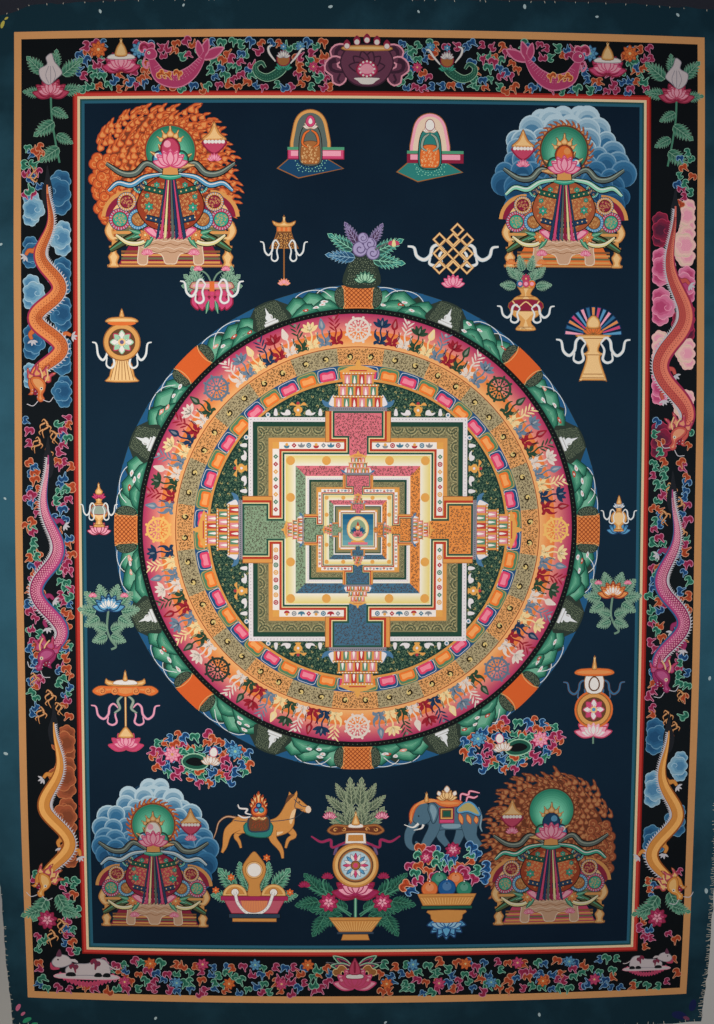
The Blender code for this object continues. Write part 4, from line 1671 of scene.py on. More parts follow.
def canopy_wheel():
    """Wheel of rose petals under a small canopy, on a rose lotus."""
    sign = Motif().stroke("grey_leaf", [-46j, -30j], 1.8)
    sign.put(lotus(40, ("crimson_light", "rose_light")), -38j)
    sign.put(ribbons(32, 14, ("sepia", "cloud_mid")), 16j)
    sign.fill("orange_paint", disc(-10j, 20, 26))
    sign.put(wheel_of_spokes(18, "gold", "crimson_light", "rose", "sky_paint"), -10j)
    sign.put(lotus(26, ("rose_light", "white_paint")), -37j)
    sign.shade("~ -8,8 8,8 9,26 -9,26", "gold_deep", "white_paint .8")
    sign.rim("sepia", egg(17j, 6, 8, 16), 1.4)
    sign.shade("~ -21,28 -14,33 14,33 21,28 12,25 -12,25", "sepia", "orange_paint .6", "flame_light 2.4")
    return gilt(sign, "~ -2.4,32 2.4,32 2,38 0,47 -2,38")


def seat_group(arch_outer, arch_inner, bench, rug, heap_colours):
    """Arched chair back, bench and rug, with a wrapped treasure jar on the seat."""
    group = Motif()
    group.shade("-34,-26 -12,-36 34,-26 14,-14 -20,-14", "gold_deep", (rug, 1))
    group.scatter("scarf_teal_light", dot_mark(0.6, 5),
        spots(lambda p: (p.imag < -16) & (p.imag > -30) & (np.abs(p.real) < 20 + p.imag * 0.2),
        (-22, 22, -31, -16), 3, 8))
    group.shade("~4 -18,-12 -18,14 -12,28 0,33 |", "gold_deep", (arch_outer, 0.8), (arch_inner, 3.6))
    for side, wide in ((-1, 15), (1, 26)):
        corner = box(min(side * 4, side * (8 + wide)), max(side * 4, side * (8 + wide)), -17, -5)
        group.shade(corner, "crimson", (bench, 0.9), "rose_light 3.4")
        group.fill("leaf_mid", corner.real + 1j * (corner.imag * 0.25 - 3.4))
    robe = smooth("-11,-20 -12,-4 -10,10 -5,17 | 0,-24", 4)
    group.shade(robe, "black_line", (heap_colours[0], 0.8))
    lap = smooth("-9,-20 -10,-6 -6,1 | 0,-22", 4)
    group.shade(lap, "sepia", (heap_colours[1], 0.7))
    group.scatter("gold_light", curl_mark(2.6, 1, 7),
        spots(lambda p: (np.abs(p.real) < 8) & (p.imag < -2), (-8, 8, -19, -2), 3.4, 6), 20)
    mirrored(group, shaded_strip(Motif(), "1,12 6,8 8,-1 3,-5", 3.2, "black_line", heap_colours[2]))
    group.put(lotus(15, ("linen", "white_paint")), 14j)
    return group.shade(egg(21j, 5, 6, 14), "crimson", (heap_colours[3], 0.6), "white_paint 3")


def plume_crest():
    """Fan of grey-violet and teal plumes with a small red parasol, on a dark mound."""
    crest = Motif().fill("pine", "~4 -21,-34 -17,-12 -8,-2 6,-2 12,-12 14,-34")
    crest.scatter("pine_dot", dot_mark(0.5, 5), spots(lambda p: (np.abs(p.real + 3) < 10 - p.imag * 0.2)
        & (p.imag < -6), (-19, 12, -32, -6), 2.4, 5))
    teal_plume = ("scarf_teal_light", "teal_paint", "pine")
    blue_plume = ("cloud_pale", "cloud_mid", "slab_blue")
    for at, turn, size, colours in ((8 - 8j, -96, 26, teal_plume), (-10 - 6j, 84, 24, blue_plume),
            (-12 + 2j, 58, 24, teal_plume), (10 + 0j, -66, 25, teal_plume),
            (-8 + 8j, 30, 20, ("violet_light", "violet", "plum_deep")),
            (6 + 8j, -30, 19, ("violet_light", "violet", "plum_deep"))):
        crest.put(fern(size, 0.6, colours), at, turn)
    for at, radius in ((-5 + 3j, 8), (5 + 8j, 7), (8 - 1j, 7), (-2 + 14j, 5.5)):
        crest.put(whorl(radius, ("violet", "violet_light", "violet")), at)
    crest.stroke("scarf_grey", curve("10,2 20,8 27,9", 5), 1.6)
    crest.fill("crimson_light", "~ 24,7 34,7 33,11 25,11")
    crest.fill("ribbon_cream", "~ 27,6 31,6 30,12 28,12")
    return crest.put(lotus(22, ("leaf_deep", "leaf_pale")), -30j)


def scroll_leaf(size, colours):
    """Leaf of the border scrolls: a stalk under a hooked, three-lobed head with a pale rim."""
    outline = (size
        * smooth("-.06,0 .1,0 .17,.34 .4,.46 .54,.72 .38,.98 .14,.98 -.08,1.2 -.4,1.14 -.6,.84 -.52,.54 "
        "-.34,.5 -.26,.66 -.12,.56", 2))
    curl = Motif().fill(colours[0], outline).fill(colours[1], inset(outline, size * 0.06))
    vein = size * curve(".04,.1 .04,.6 -.1,.94 -.36,.94 -.42,.72", 2)
    curl.stroke(colours[2], vein, size * np.linspace(0.06, 0.2, len(vein)))
    lobe = size * curve(".1,.64 .3,.76 .4,.68", 2)
    return curl.stroke(colours[2], lobe, size * 0.08, up=0)


def lanes(places, apart):
    """Share places out among sets whose members all lie well apart; gives each place's set."""
    chosen = []
    for number, place in enumerate(places):
        near = {chosen[k] for k in range(number) if abs(places[k] - place) < apart}
        chosen.append(min(set(range(len(near) + 1)) - near))
    return chosen


LEAF_HUES = (("scroll_orange_rim", "scroll_orange", "flame_deep"),
    ("scroll_rose_rim", "scroll_rose", "crimson"), ("scroll_blue_rim", "scroll_blue", "navy_paint"),
    ("scroll_green_rim", "scroll_green", "leaf_deep"))


def strew_leaves(motif, inside, area, pitch, seed, size=10):
    """Fill a region with curled leaves in all the scroll colours, turned all ways."""
    chance = random.Random(seed)
    places = spots(inside, area, pitch, seed)
    items = []
    for place, lane in zip(places, lanes(places, size * 1.3)):
        curl = scroll_leaf(size * chance.uniform(0.82, 1.12), chance.choice(LEAF_HUES))
        if chance.random() < 0.5:
            curl = Motif().put(curl, flip=True)
        turn = chance.uniform(-70, 70) + (180 if chance.random() < 0.3 else 0)
        spin = heading(turn)
        items.append((lane, place - 0.5j * size * spin, curl, turn))
    return lay_rows(motif, items, 3)


def flower_scroll():
    """Drift of curled leaves in many colours round two flowers, a dark pool and a white bud."""
    drift = strew_leaves(Motif(), lambda p: (p.real / 52) ** 2 + (p.imag / 27) ** 2 < 1,
        (-52, 52, -27, 27), 8.8, 3)
    drift.shade(egg(-6 - 3j, 14, 9, 20), "leaf_pale", "leaf_deep 1.2", "lamp_black 4.5")
    drift.put(blossom(9, ("rose", "rose_light", "gold")), -30 + 2j)
    drift.put(blossom(9, ("navy_paint", "sky_paint", "leaf_pale")), 34 + 12j)
    drift.put(lotus(20, ("linen", "white_paint")), 10 - 4j)
    return drift.shade(egg(12 + 9j, 4.5, 5.5, 14), "rose", "white_paint .7")


emblems = Motif()
for at, size, sign in ((-77.5 - 218j, 1, banner()), (93 - 222j, 1, knot()), (-150 - 262j, 1, bundle()),
        (167 - 258j, 0.86, flower_vase()), (-241 - 318j, 1, standing_wheel()),
        (236 - 300j, 0.95, feather_pot()), (-265 - 480j, 0.95, jug()), (264 - 486j, 0.85, small_jar()),
        (-256 - 588j, 1, lotus_spray(("navy_paint", "sky_paint"))),
        (259 - 574j, 0.95, lotus_spray(("flame_deep", "flame_light"))), (-240 - 687j, 0.98, parasol()),
        (241 - 677j, 1, canopy_wheel()), (-51 - 112j, 1,
        seat_group("gold", "scarf_grey", "rose", "cloud_deep",
        ("scarf_grey", "brocade", "orange_paint", "rose"))),
        (69 - 115j, 1, seat_group("rose_light", "linen_light", "crimson", "teal_paint",
        ("teal_paint", "orange_paint", "scarf_grey_light", "white_paint"))),
        (4 - 221j, 1, plume_crest())):
    emblems.put(sign, at, size=size, beside=True)
emblems.coat += 100
for at, flip in ((-163 - 738j, False), (157 - 724j, True)):
    emblems.put(flower_scroll(), at, 8 if flip else -6, 1, flip, beside=True)
lay_paint("field_emblems", emblems)

# Offerings at the foot of the field
# A laden horse and an elephant stand over two footed bowls, with a wheel vase and peonies growing
# from a pleated pot between them.

PIGMENTS.update(dusk_leaf="#75866c", dusk_deep="#3c4a3f", dusk_pale="#a5af90", coat_ochre="#d1904e",
    coat_pale="#ecc79a", hide="#4f6f83", hide_deep="#2b4150", hide_pale="#7f9dad", pot_ochre="#c98b4a",
    pot_light="#e2b372", bowl_rose="#b8586a", bowl_peach="#cf7c5a", slab_navy="#2f4154", pearl="#d3c7cc",
    pearl_shade="#8f8b98", dragon_orange="#d9743f")


def limb(motif, path, start, end, colours):
    """Tapering leg or trunk, with a dark edge."""
    path = curve(path, 5)
    taper = np.linspace(start, end, len(path))
    return motif.stroke(colours[0], path, taper).stroke(colours[1], path, taper - 1.1)


def jewel_flames(size):
    """Three jewels in a pointed burst of flame."""
    burst = Motif()
    for turn in (-34, 34, -22, 22, -11, 11, 0):
        burst.put(flame(size * (1 - abs(turn) / 90), 0, ("flame_deep", "orange_paint", "gold_light")),
            turn=turn)
    for at, hue in ((-0.1 + 0.24j, "crimson"), (0.1 + 0.24j, "teal_paint"), (0 + 0.42j, "navy_paint")):
        burst.put(jewel((hue, "sky_paint"), size * 0.12), size * at)
    return burst


def laden_horse():
    """Ochre horse walking to the right under a brocade saddle cloth and a flaming jewel."""
    horse = Motif()
    tail = curve("-28,7 -38,8 -46,2 -49,-8 -52,-16", 4)
    horse.stroke("sepia", tail, np.linspace(3, 1.4, len(tail))).stroke("linen", tail,
        np.linspace(1.6, 0.4, len(tail)))
    hide = ("gold_deep", "coat_ochre")
    limb(horse, plotted("-22,-6 -28,-13 -25,-19 -23,-26"), 7, 2.6, hide)
    limb(horse, plotted("26,-4 33,-12 27,-17 24,-26"), 8, 2.6, hide)
    body = smooth("-33,0 -29,7 -20,9 -5,5 8,5 16,9 22,18 27,28 32,31 38,28 46,21 51,17 49,12.5 42,13.5 "
        "36,17 34,8 33,-1 27,-9 12,-14 -6,-14 -18,-10 -28,-10", 4)
    horse.shade(body, "gold_deep", "coat_ochre .6")
    horse.fill("coat_pale", "~ -17,-9 -2,-8 10,-9 22,-8 12,-13 -6,-13")
    horse.fill("coat_pale", "~ 30,0 33,8 35,16 31,14 28,4")
    limb(horse, plotted("-27,-1 -35,-7 -38,-14 -40,-24 -43,-31"), 13, 2.8, hide)
    limb(horse, plotted("10,-7 11,-16 17,-24 20,-30 21,-37"), 10, 2.8, hide)
    horse.fill("coat_ochre", "~2 27,27 28,35 31,30")
    horse.fill("coat_ochre", "~2 32,29 36,36 36,29", up=0)
    horse.fill("sepia", "~ 24,22 27,31 34,32 30,28")
    horse.fill("linen_light", egg(48 + 16j, 3, 4, 12)).fill("lamp_black", disc(38.5 + 24j, 0.9, 8), up=0)
    for path in ([-30 + 4j, -20 + 3j, -13 + 4j], plotted("7,3 20,4 34,7 43,14"),
            [33 + 27j, 41 + 20j, 46 + 19j], [36 + 29j, 34 + 18j, 42 + 16j]):
        horse.stroke("slab_navy", curve(path, 5), 0.8)
    horse.shade("~ -18,2 9,2 9,-12 -2,-15 -18,-11", "leaf_deep", "teal_paint 1")
    cloth = smooth("-14,9 6,9 7,-6 -4,-9 -15,-7")
    horse.shade(cloth, "slab_navy", "sepia 1.6")
    horse.scatter("flame_deep", curl_mark(2.4), spots(lambda p: (np.abs(p.real + 4) < 8) & (p.imag > -6),
        (-13, 5, -6, 7), 2.6, 4), 30)
    horse.put(lotus(17, ("gold_deep", "gold_light")), -4 + 5j)
    shaded_strip(horse, "-12,10 -18,12 -16,16 -24,17 -26,21", 2.2, "pearl_shade", "white_paint")
    shaded_strip(horse, "-13,8 -20,7 -26,10", 2.2, "pearl_shade", "white_paint")
    return horse.put(jewel_flames(27), -4 + 9j)


def elephant():
    """Slate-blue elephant walking to the left under an orange blanket and a jewel."""
    hide = ("hide_deep", "hide")
    beast = Motif()
    shaded_strip(beast, "37,12 40,2 39,-8 41,-14", 2.6, "hide_deep", "hide_pale")
    limb(beast, [-2 - 6j, -2 - 18j, 5 - 28j], 12, 7, hide)
    limb(beast, [20 - 4j, 18 - 16j, 14 - 27j], 12, 8, hide)
    body = smooth("-18,12 -8,18 8,17 24,16 34,12 39,2 36,-10 24,-12 4,-12 -10,-12 -18,-2", 4)
    beast.shade(body, "hide_deep", "hide .8").fill("hide_pale", "~ 0,-6 18,-6 16,-10 2,-10")
    limb(beast, plotted("26,4 28,-10 30,-20 38,-30"), 20, 9, hide)
    limb(beast, plotted("-8,4 -9,-10 -15,-22 -20,-32"), 14, 9, hide)
    limb(beast, plotted("-27,6 -30,-6 -35,-16 -35,-26 -30,-31 -26,-27 -28,-24"), 13, 2.6, hide)
    beast.shade(egg(-22 + 6j, 11, 13, 24), "hide_deep", "hide .8")
    beast.shade("~4 -14,17 -8,16 -4,8 -7,-3 -11,-5 -14,4 -16,10", "hide_deep", "hide .8", "hide_pale 2.4")
    for path in ([-25 - 5j, -31 - 9j, -40 - 6j], [-20 - 6j, -22 - 10j, -30 - 12j]):
        tusk = curve(path, 4)
        beast.stroke("white_paint", tusk, np.linspace(2.6, 0.6, len(tusk)))
    beast.fill("lamp_black", disc(-25 + 3j, 0.8, 8), up=0)
    blanket = smooth("-33,-6 -35,6 -29,16 -16,20 0,21 16,20 22,15 10,12 -2,13 -10,18 -20,17 -28,10", 4)
    beast.shade(blanket, "flame_deep", "dragon_orange .7", "flame_light 3")
    beast.shade("~4 14,11 24,19 33,16 40,5 36,2 26,6 16,5", "navy_paint", "sky_paint .8",
        "ribbon_shade 2.4")
    for at, turn, size in ((17 + 6j, 196, 13), (25 + 5j, 200, 12), (34 + 3j, 188, 9)):
        beast.put(petal(size, 5.4, ("flame_deep", "flame_light")), at, turn, beside=size > 9)
    beast.shade(box(-4, 12, -5, 12), "crimson", "rose .8")
    beast.shade(box(-3, 11, -1, 11.5), "lamp_black", "gold .7", "sepia 2.2", "leaf_deep 3.2")
    gilt(beast, "~ -19.5,18 -14.5,18 -15.5,24 -17,29 -18.5,24")
    beast.put(lotus(22, ("gold_deep", "gold_light")), 4 + 20j)
    for x, y, size in ((-3, 24, 6), (11, 24, 6), (4, 27, 8)):
        beast.put(petal(size, size * 0.8, ("linen", "white_paint")), complex(x, y), (4 - x) * 3)
    for path in (plotted("18,19 19,26 26,25 28,29 38,27"), plotted("24,18 26,23 32,22 36,24")):
        shaded_strip(beast, path, 2.8, "crimson", "rose_light")
    return beast


def jewel_bowl():
    """Rose-coloured footed bowl with a pearl swag, a flaming mirror and two cups among leaves."""
    bowl = Motif()
    for x, y, turn, size in ((26, 4, -38, 22), (17, 12, -12, 17), (30, -6, -82, 17), (12, 2, -20, 16)):
        mirrored(bowl, fern(size), complex(x - 6, y - 6), turn)
    for at in (-24 + 10j, 13 + 31j, -40 - 4j, 37 - 6j):
        bowl.put(blossom(4.2, ("flame_deep", "orange_paint", "gold_light"), 6), at, beside=at.real < 37)
    stand = smooth("-7,-10 -6,2 -11,12 -12,22 -6,32 0,38 |", 4)
    bowl.shade(stand, "gold_deep", "pot_ochre .7")
    bowl.shade(disc(18j, 9.4, 26), "gold_deep", "pot_light .7")
    bowl.shade(disc(18j, 7.8, 24), "linen", "white_paint .8")
    for x in (-20, 20):
        dome = x - 10j + 13 * np.exp(1j * math.pi * np.arange(17) / 16)
        bowl.shade(dome, "gold_deep", "pot_light .7", "pot_ochre 3")
        bowl.shade(disc(x - 6j, 4.4, 16), "gold_deep", "white_paint .7")
    bowl.shade("-33,-12 -24,-29 |", "crimson", "bowl_rose .6")
    bowl.fill("bowl_peach", "-14,-15 -11,-28 |")
    for number in range(15):
        x = -13 + 13 * number / 7
        bowl.stroke("flame_light", [x - 15j, 0.82 * x - 28j], 0.45, up=not number)
    bowl.shade(box(-35, 35, -15, -10), "crimson", "scroll_rose .7")
    swag = curve("-20,-6 -17,-18 -8,-28 4,-29 14,-22 20,-6", 6)
    bowl.stroke("pearl_shade", swag, 3.4).stroke("white_paint", swag, 2.6)
    bowl.scatter("pearl_shade", dot_mark(0.45, 5), swag[1::2])
    bowl.shade(box(-27, 27, -34, -29), "lamp_black", "slab_navy .6")
    return bowl.shade(box(-23, 23, -38, -34), "gold_deep", "pot_ochre .6")


def pleated_pot(motif, top, wide, high, narrow):
    """Ochre pot that widens upwards in pleats, on a dark band and a low foot."""
    body = [-narrow + 1j * (top - high), narrow + 1j * (top - high), wide + 1j * top, -wide + 1j * top]
    motif.shade(body, "gold_deep", "pot_ochre .6")
    pleats = int(wide / 1.7)
    for number in range(pleats):
        share = (number - (pleats - 1) / 2) / pleats * 1.8
        line = [share * wide + 1j * (top - 4.5), share * narrow + 1j * (top - high + 1.5)]
        motif.stroke("pot_light", line, 0.6, up=not number)
    motif.stroke("gold_deep", [-wide + 3 + 1j * (top - 3.4), wide - 3 + 1j * (top - 3.4)], 0.6)
    return motif.fill("slab_navy", box(-narrow - 2, narrow + 2, top - high - 2.2, top - high))


def wheel_vase_plant():
    """Round gold vase with a wheel, under a scrolled canopy and two plumes, on peony stalks in a pot."""
    dusk = ("dusk_pale", "dusk_leaf", "dusk_deep")
    shadow = ("fern", "leaf_deep", "fern_deep")
    plant = Motif()
    for way in (-1, 1):
        for reach, height, turn, size in ((10, 34, 34, 26), (9, 44, 60, 20), (4, 46, 12, 26),
                (13, 58, 48, 18), (3, 62, 4, 24), (11, 68, 26, 16), (6, 40, -6, 20)):
            plant.put(fern(size, 0.6, dusk), complex(way * (reach + 1), height - 6), -way * turn)
    for way in (-1, 1):
        plant.stroke("fern", [way * 12 + 34j, way * 24 + 46j], 1)
        plant.put(lotus(15, ("scroll_rose", "rose_light")), way * 27 + 43j)
        for reach, height, turn, size in ((24, -52, 96, 24), (38, -62, 150, 20), (30, -38, 60, 24),
                (44, -46, 100, 20), (20, -60, 118, 20), (44, -34, 40, 19), (14, -54, 70, 18)):
            plant.put(fern(size, 0.8, shadow), complex(way * (reach - 6), height), -way * turn)
        for path in ([5 - 62j, 18 - 52j, 26 - 46j], plotted("4,-60 26,-44 34,-26 30,-20"),
                [26 - 42j, 42 - 34j, 52 - 28j]):
            line = curve([complex(way * p.real, p.imag) for p in path], 5)
            plant.stroke("fern", line, 1.4)
        plant.put(peony(10.5), way * 28 - 47j).put(lotus(13, ("crimson", "scroll_rose")), way * 29 - 21j)
        plant.put(lotus(13, ("crimson", "scroll_rose")), way * 53 - 30j)
    plant.stroke("fern", [-66j, -32j], 3).stroke("fern_pale", [-66j, -32j], 1)
    plant.put(lotus(50, ("crimson", "scroll_rose")), -42j).put(lotus(38, ("scroll_rose", "rose_light")),
        -38j)
    for way in (-1, 1):
        for path, colour in ((plotted("8,16 18,14 22,4 20,8"), "violet"),
                (plotted("10,18 24,12 26,20 36,18 46,24"), "scroll_rose")):
            line = [complex(way * p.real, p.imag) for p in path]
            shaded_strip(plant, line, 3.4, "plum", colour)
    plant.shade("-10,28 10,28 11,16 -11,16", "linen", "white_paint .6", "pot_ochre 2.6")
    plant.shade(disc(-7j, 24, 40), "gold_deep", "pot_ochre .7", "pot_light 2.6")
    plant.shade(disc(-7j, 18.5, 36), "sepia", "brocade 1.4", "scarf_grey_light 2.8", "cloud_line 3.6")
    for number in range(16):
        tones = (("crimson", "rose"), ("pearl_shade", "white_paint"))[number % 2]
        tones = tones if number % 4 != 2 else ("navy_paint", "sky_paint")
        plant.put(petal(13.6, 4.6, tones), -7j, 22.5 * number, beside=number < 15)
    plant.shade(disc(-7j, 5.2, 18), "sepia", "brocade 1", "rose 2.6")
    canopy = smooth("-30,30 -22,37 -8,36 8,36 22,37 30,30 22,25 8,27 -8,27 -22,25", 4)
    plant.shade(canopy, "sepia", "brocade .8", "ember_deep 2.6")
    plant.scatter("gold", curl_mark(5, 1, 8), plotted("-21,31 -12,31.5 |"), [20, 200, 340, 160])
    plant.shade("~ -7,33 7,33 6,37 -6,37", "linen", "white_paint .6")
    gilt(plant, "~ -4,36 4,36 3,42 1.4,46 0,51 -1.4,46 -3,42")
    pleated_pot(plant, -63, 28, 16, 17)
    return plant.shade("-15,-88 15,-88 13,-81.4 -13,-81.4", "gold_deep", "pot_ochre .6")


def fruit_bowl():
    """Pleated ochre bowl of round fruit under a heap of curled leaves, on a blue lotus."""
    bowl = Motif()
    chance = random.Random(5)
    places = spots(lambda p: (np.abs(p.real) < 36 - np.abs(p.imag - 12) * 0.25) & (p.imag > -2),
        (-38, 38, -2, 44), 9.6, 8)
    items = []
    for place, lane in zip(places, lanes(places, 15)):
        curl = scroll_leaf(chance.uniform(10.5, 13), chance.choice(LEAF_HUES))
        turn = -place.real * 1.5 + chance.uniform(-40, 40)
        items.append((lane, place - 6j, curl, turn))
    lay_rows(bowl, items, 3)
    bowl.put(peony(8.5), 6 + 40j).put(peony(7), -22 + 32j)
    bowl.put(lotus(42, ("navy_paint", "sky_paint")), -36j,
        180).put(lotus(34, ("scroll_blue", "cloud_pale")), -44j)
    for at, radius, tones in ((-8 + 8j, 8.6, ("leaf_deep", "scroll_green")),
            (9 + 8j, 8.6, ("flame_deep", "dragon_orange")),
            (-18 - 2j, 8.8, ("flame_deep", "dragon_orange")),
            (18 - 2j, 8.4, ("leaf_deep", "scroll_green")), (0 - 1j, 9.6, ("navy_paint", "scroll_blue"))):
        bowl.shade(disc(at, radius, 22), tones[0], (tones[1], 0.9))
        bowl.fill(mixed(tones[1], "white_paint", 0.22), disc(at + 0.2j * radius, radius * 0.5, 14))
        bowl.fill("white_paint", disc(at + 1j * radius * 0.95, 0.8, 6)).fill(tones[0],
            disc(at + 0.55j * radius, 0.9, 6), up=0)
    bowl.shade("~2 -13,-38 13,-38 17,-30 20,-25 -20,-25 -17,-30", "gold_deep", "pot_ochre .6")
    pleated_pot(bowl, -7, 31, 13, 25)
    return bowl.shade(box(-27, 27, -24, -20), "lamp_black", "leaf_deep .6")


offerings = Motif()
for at, size, sign in ((-100 - 806j, 0.98, laden_horse()), (86 - 801j, 1, elephant()),
        (-109 - 873j, 1, jewel_bowl()), (-4 - 843j, 1, wheel_vase_plant()), (91 - 874j, 1, fruit_bowl())):
    offerings.put(sign, at, size=size)
lay_paint("field_offerings", offerings)

# Head and foot borders
# On the black ground between the ochre line and the fillet: curled leaves and flower heads in four
# colours, pale buds on pink lotus thrones, leaping fish, and a lotus medallion in the middle.

PIGMENTS.update(fish_pink="#b8406f", fish_light="#df87a8")
INNER_LEFT, INNER_RIGHT, INNER_FOOT, INNER_HEAD = FIELD
OUTER_LEFT, OUTER_RIGHT = (-342.6, 342.6)
OUTER_FOOT, OUTER_HEAD = (-992.6, -7.4)


def corner_plant(stalk):
    """Pale bud on a pink lotus among toothed leaves, with more leaves down a stalk."""
    plant = Motif()
    for at, turn, size in ((-8 + 18j, 44, 19), (4 + 22j, -6, 16), (12 + 16j, -52, 21), (-10 - 2j, 84, 15),
            (12 + 0j, -84, 17)):
        plant.put(fern(size), at, turn)
    plant.stroke("fern", curve("0,-4 1,-26 5,-52 9,-72", 5), 2)
    for number in range(stalk):
        at = 1 + 2.5 * number - 18j - 13j * number
        plant.put(fern(20 if number % 2 else 15), at, 124 if number % 2 else -118)
    plant.put(lotus(38, ("crimson", "crimson_light")),
        -6j).put(lotus(26, ("crimson_light", "rose_light")), -3j)
    bud = smooth("-2,6 -10,12 -12,22 -4,27 -5,34 1,38 4,30 8,25 12,18 6,12", 4)
    plant.shade(bud, "pearl_shade", "pearl .7")
    for way in (-1, 0, 1):
        line = curve([way * 2 + 8j, way * 5 + 16j, way * 2 + 25j], 4)
        plant.stroke("pearl_shade", line, 0.6, up=0 if way > -1 else 1)
    return plant


def small_offering():
    """Gold flame-shaped cake on a white cushion and a pink lotus."""
    cake = Motif().put(lotus(40, ("crimson", "rose")), -14j).put(lotus(30), -11j)
    cake.shade("~ -13,-2 13,-2 10,3 -10,3", "pearl_shade", "white_paint .7")
    return gilt(cake, "~ -6,1 6,1 5,9 1.5,15 0,20 -1.5,15 -5,9")


def leaping_fish():
    """Pink scaled fish with a raised crest, its tail thrown up."""
    path = curve("-31,12 -27,2 -20,-9 -4,-13 10,-6 20,6 24,14", 5)
    count = len(path)
    share = np.linspace(0, 1, count)
    width = 4 + 12.5 * np.sin(math.pi * np.clip(share * 1.05, 0, 1)) ** 1.3
    fish = Motif()
    for turn, size in ((-62, 26), (-18, 22), (12, 20)):
        fish.put(petal(size, size * 0.42, ("fish_light", "fish_pink")), 21 + 7j, turn)
    fish.stroke("fish_light", path, width).stroke("fish_pink", path, width * 0.86)
    way = np.gradient(path)
    side = 1j * way / np.abs(way)
    scales = [path[k] + side[k] * width[k] * f for k in range(6, count - 4)
        for f in (-0.02, 0.12, 0.26, 0.38)]
    fish.scatter("fish_light", dot_mark(0.5, 5), scales)
    for at, turn in ((-9 - 13j, 40), (-2 - 13j, 4), (-14 - 9j, 70)):
        fish.put(scroll_leaf(9, ("gold_light", "orange_paint", "flame_deep")), at, turn)
    fish.put(scroll_leaf(15, ("rose_light", "fish_pink", "crimson")), -30 + 9j, 18)
    fish.shade(egg(-30 + 13j, 6.5, 6, 16), "fish_light", "fish_pink .8")
    fish.shade(disc(-32 + 14j, 1.6, 8), "white_paint", "lamp_black .8")
    return fish.stroke("fish_light", curve("-36,9 -38,3 -34,-1 -33,5", 5), 2.2)


def bud_and_tendril():
    """White bud in a jacket of red sepals over a long green tendril that curls up."""
    sign = Motif()
    tail = curve("2,2 -4,-8 -16,-14 -26,-10 -28,-3 -22,1 -18,-4", 5)
    sign.stroke("leaf_pale", tail, np.linspace(11, 2.5, len(tail)))
    sign.stroke("leaf_deep", tail, np.linspace(9.6, 1.6, len(tail)))
    sign.scatter("leaf_mid", dot_mark(0.5, 5), tail[2:22] + 1.6j)
    sign.scatter("leaf_mid", dot_mark(0.5, 5), tail[2:22] - 1.6j, up=0)
    shaded_strip(sign, "-8,2 -14,10 -15,16 -11,18", 2.6, "pearl_shade", "white_paint")
    shaded_strip(sign, "7,0 14,8 18,14 21,14", 2.6, "pearl_shade", "white_paint")
    sign.put(lotus(18, ("leaf_deep", "scarf_teal")), -6j)
    sign.shade(egg(5j, 7, 8, 16), "crimson", "brocade 1")
    sign.put(lotus(14, ("pearl_shade", "white_paint")), 6j)
    return sign.put(blossom(4, ("navy_paint", "sky_paint", "white_paint"), 6), 16.5j)


def head_medallion():
    """Plum-coloured boss of lotus petals, crowned with five pearls, between two scrolls."""
    boss = Motif()
    for turn in (62, 98):
        curl = Motif()
        mirrored(curl, scroll_leaf(27, ("rose_light", "plum", "plum_deep")), 10 - 8j, -turn)
        boss.put(curl)
    boss.shade("~4 -24,8 -27,-4 -20,-18 -9,-25 9,-25 20,-18 27,-4 24,8 14,16 -14,16", "plum_deep",
        "plum 1.4")
    for turn in (-80, -48, -16, 16, 48, 80):
        boss.put(petal(19, 11, ("plum_deep", "plum")), -8j, turn)
    boss.shade(egg(-8j, 11, 9, 20), "crimson", "rose 1.4", "rose_light 4")
    boss.scatter("white_paint", dot_mark(1.1, 7), -8j + 7.4 * np.exp(2j * math.pi * np.arange(12) / 12))
    boss.fill("white_paint", "~ -12,-17 12,-17 9,-20 5,-23 -5,-23 -9,-20")
    gilt(boss, "~ -22,10 22,10 20,15 -20,15")
    for x, y in ((-20, 15), (-10, 19), (0, 21), (10, 19), (20, 15)):
        pearl = Motif().fill("crimson", petal(9, 7, ("crimson", "crimson")).patches[0][2])
        pearl.shade(disc(2.4j, 3.2, 12), "crimson_light", "white_paint .6")
        boss.put(pearl, complex(x, y - 3), beside=x < 20)
    return boss


def foot_medallion():
    """Crimson jewel between dark feathers on a wide pink lotus."""
    boss = Motif()
    for turn, size in ((58, 25), (84, 24)):
        mirrored(boss, petal(size, 9, ("leaf_pale", "leaf_deep")), 2 + 2j, -turn)
        mirrored(boss, petal(size - 5, 5, ("rose", "plum_deep")), 2 + 2j, -turn)
    mirrored(boss, Motif().stroke("pearl_shade", [14 + 6j, 30 + 8j], 0.6))
    mirrored(boss, scroll_leaf(14, ("gold_light", "gold_deep", "brocade")), 14 - 12j, -12)
    boss.put(lotus(46), -21j).put(lotus(34, ("crimson_light", "rose")), -19j)
    boss.shade("~ -8,-10 8,-10 8,-5 -8,-5", "crimson", "white_paint .7")
    boss.shade("~ -6,-5 -5,4 -2,10 0,13 |", "crimson", "crimson_light 1")
    return boss.fill("crimson", "~2 -1,-3 1,-3 1,8 -1,8")


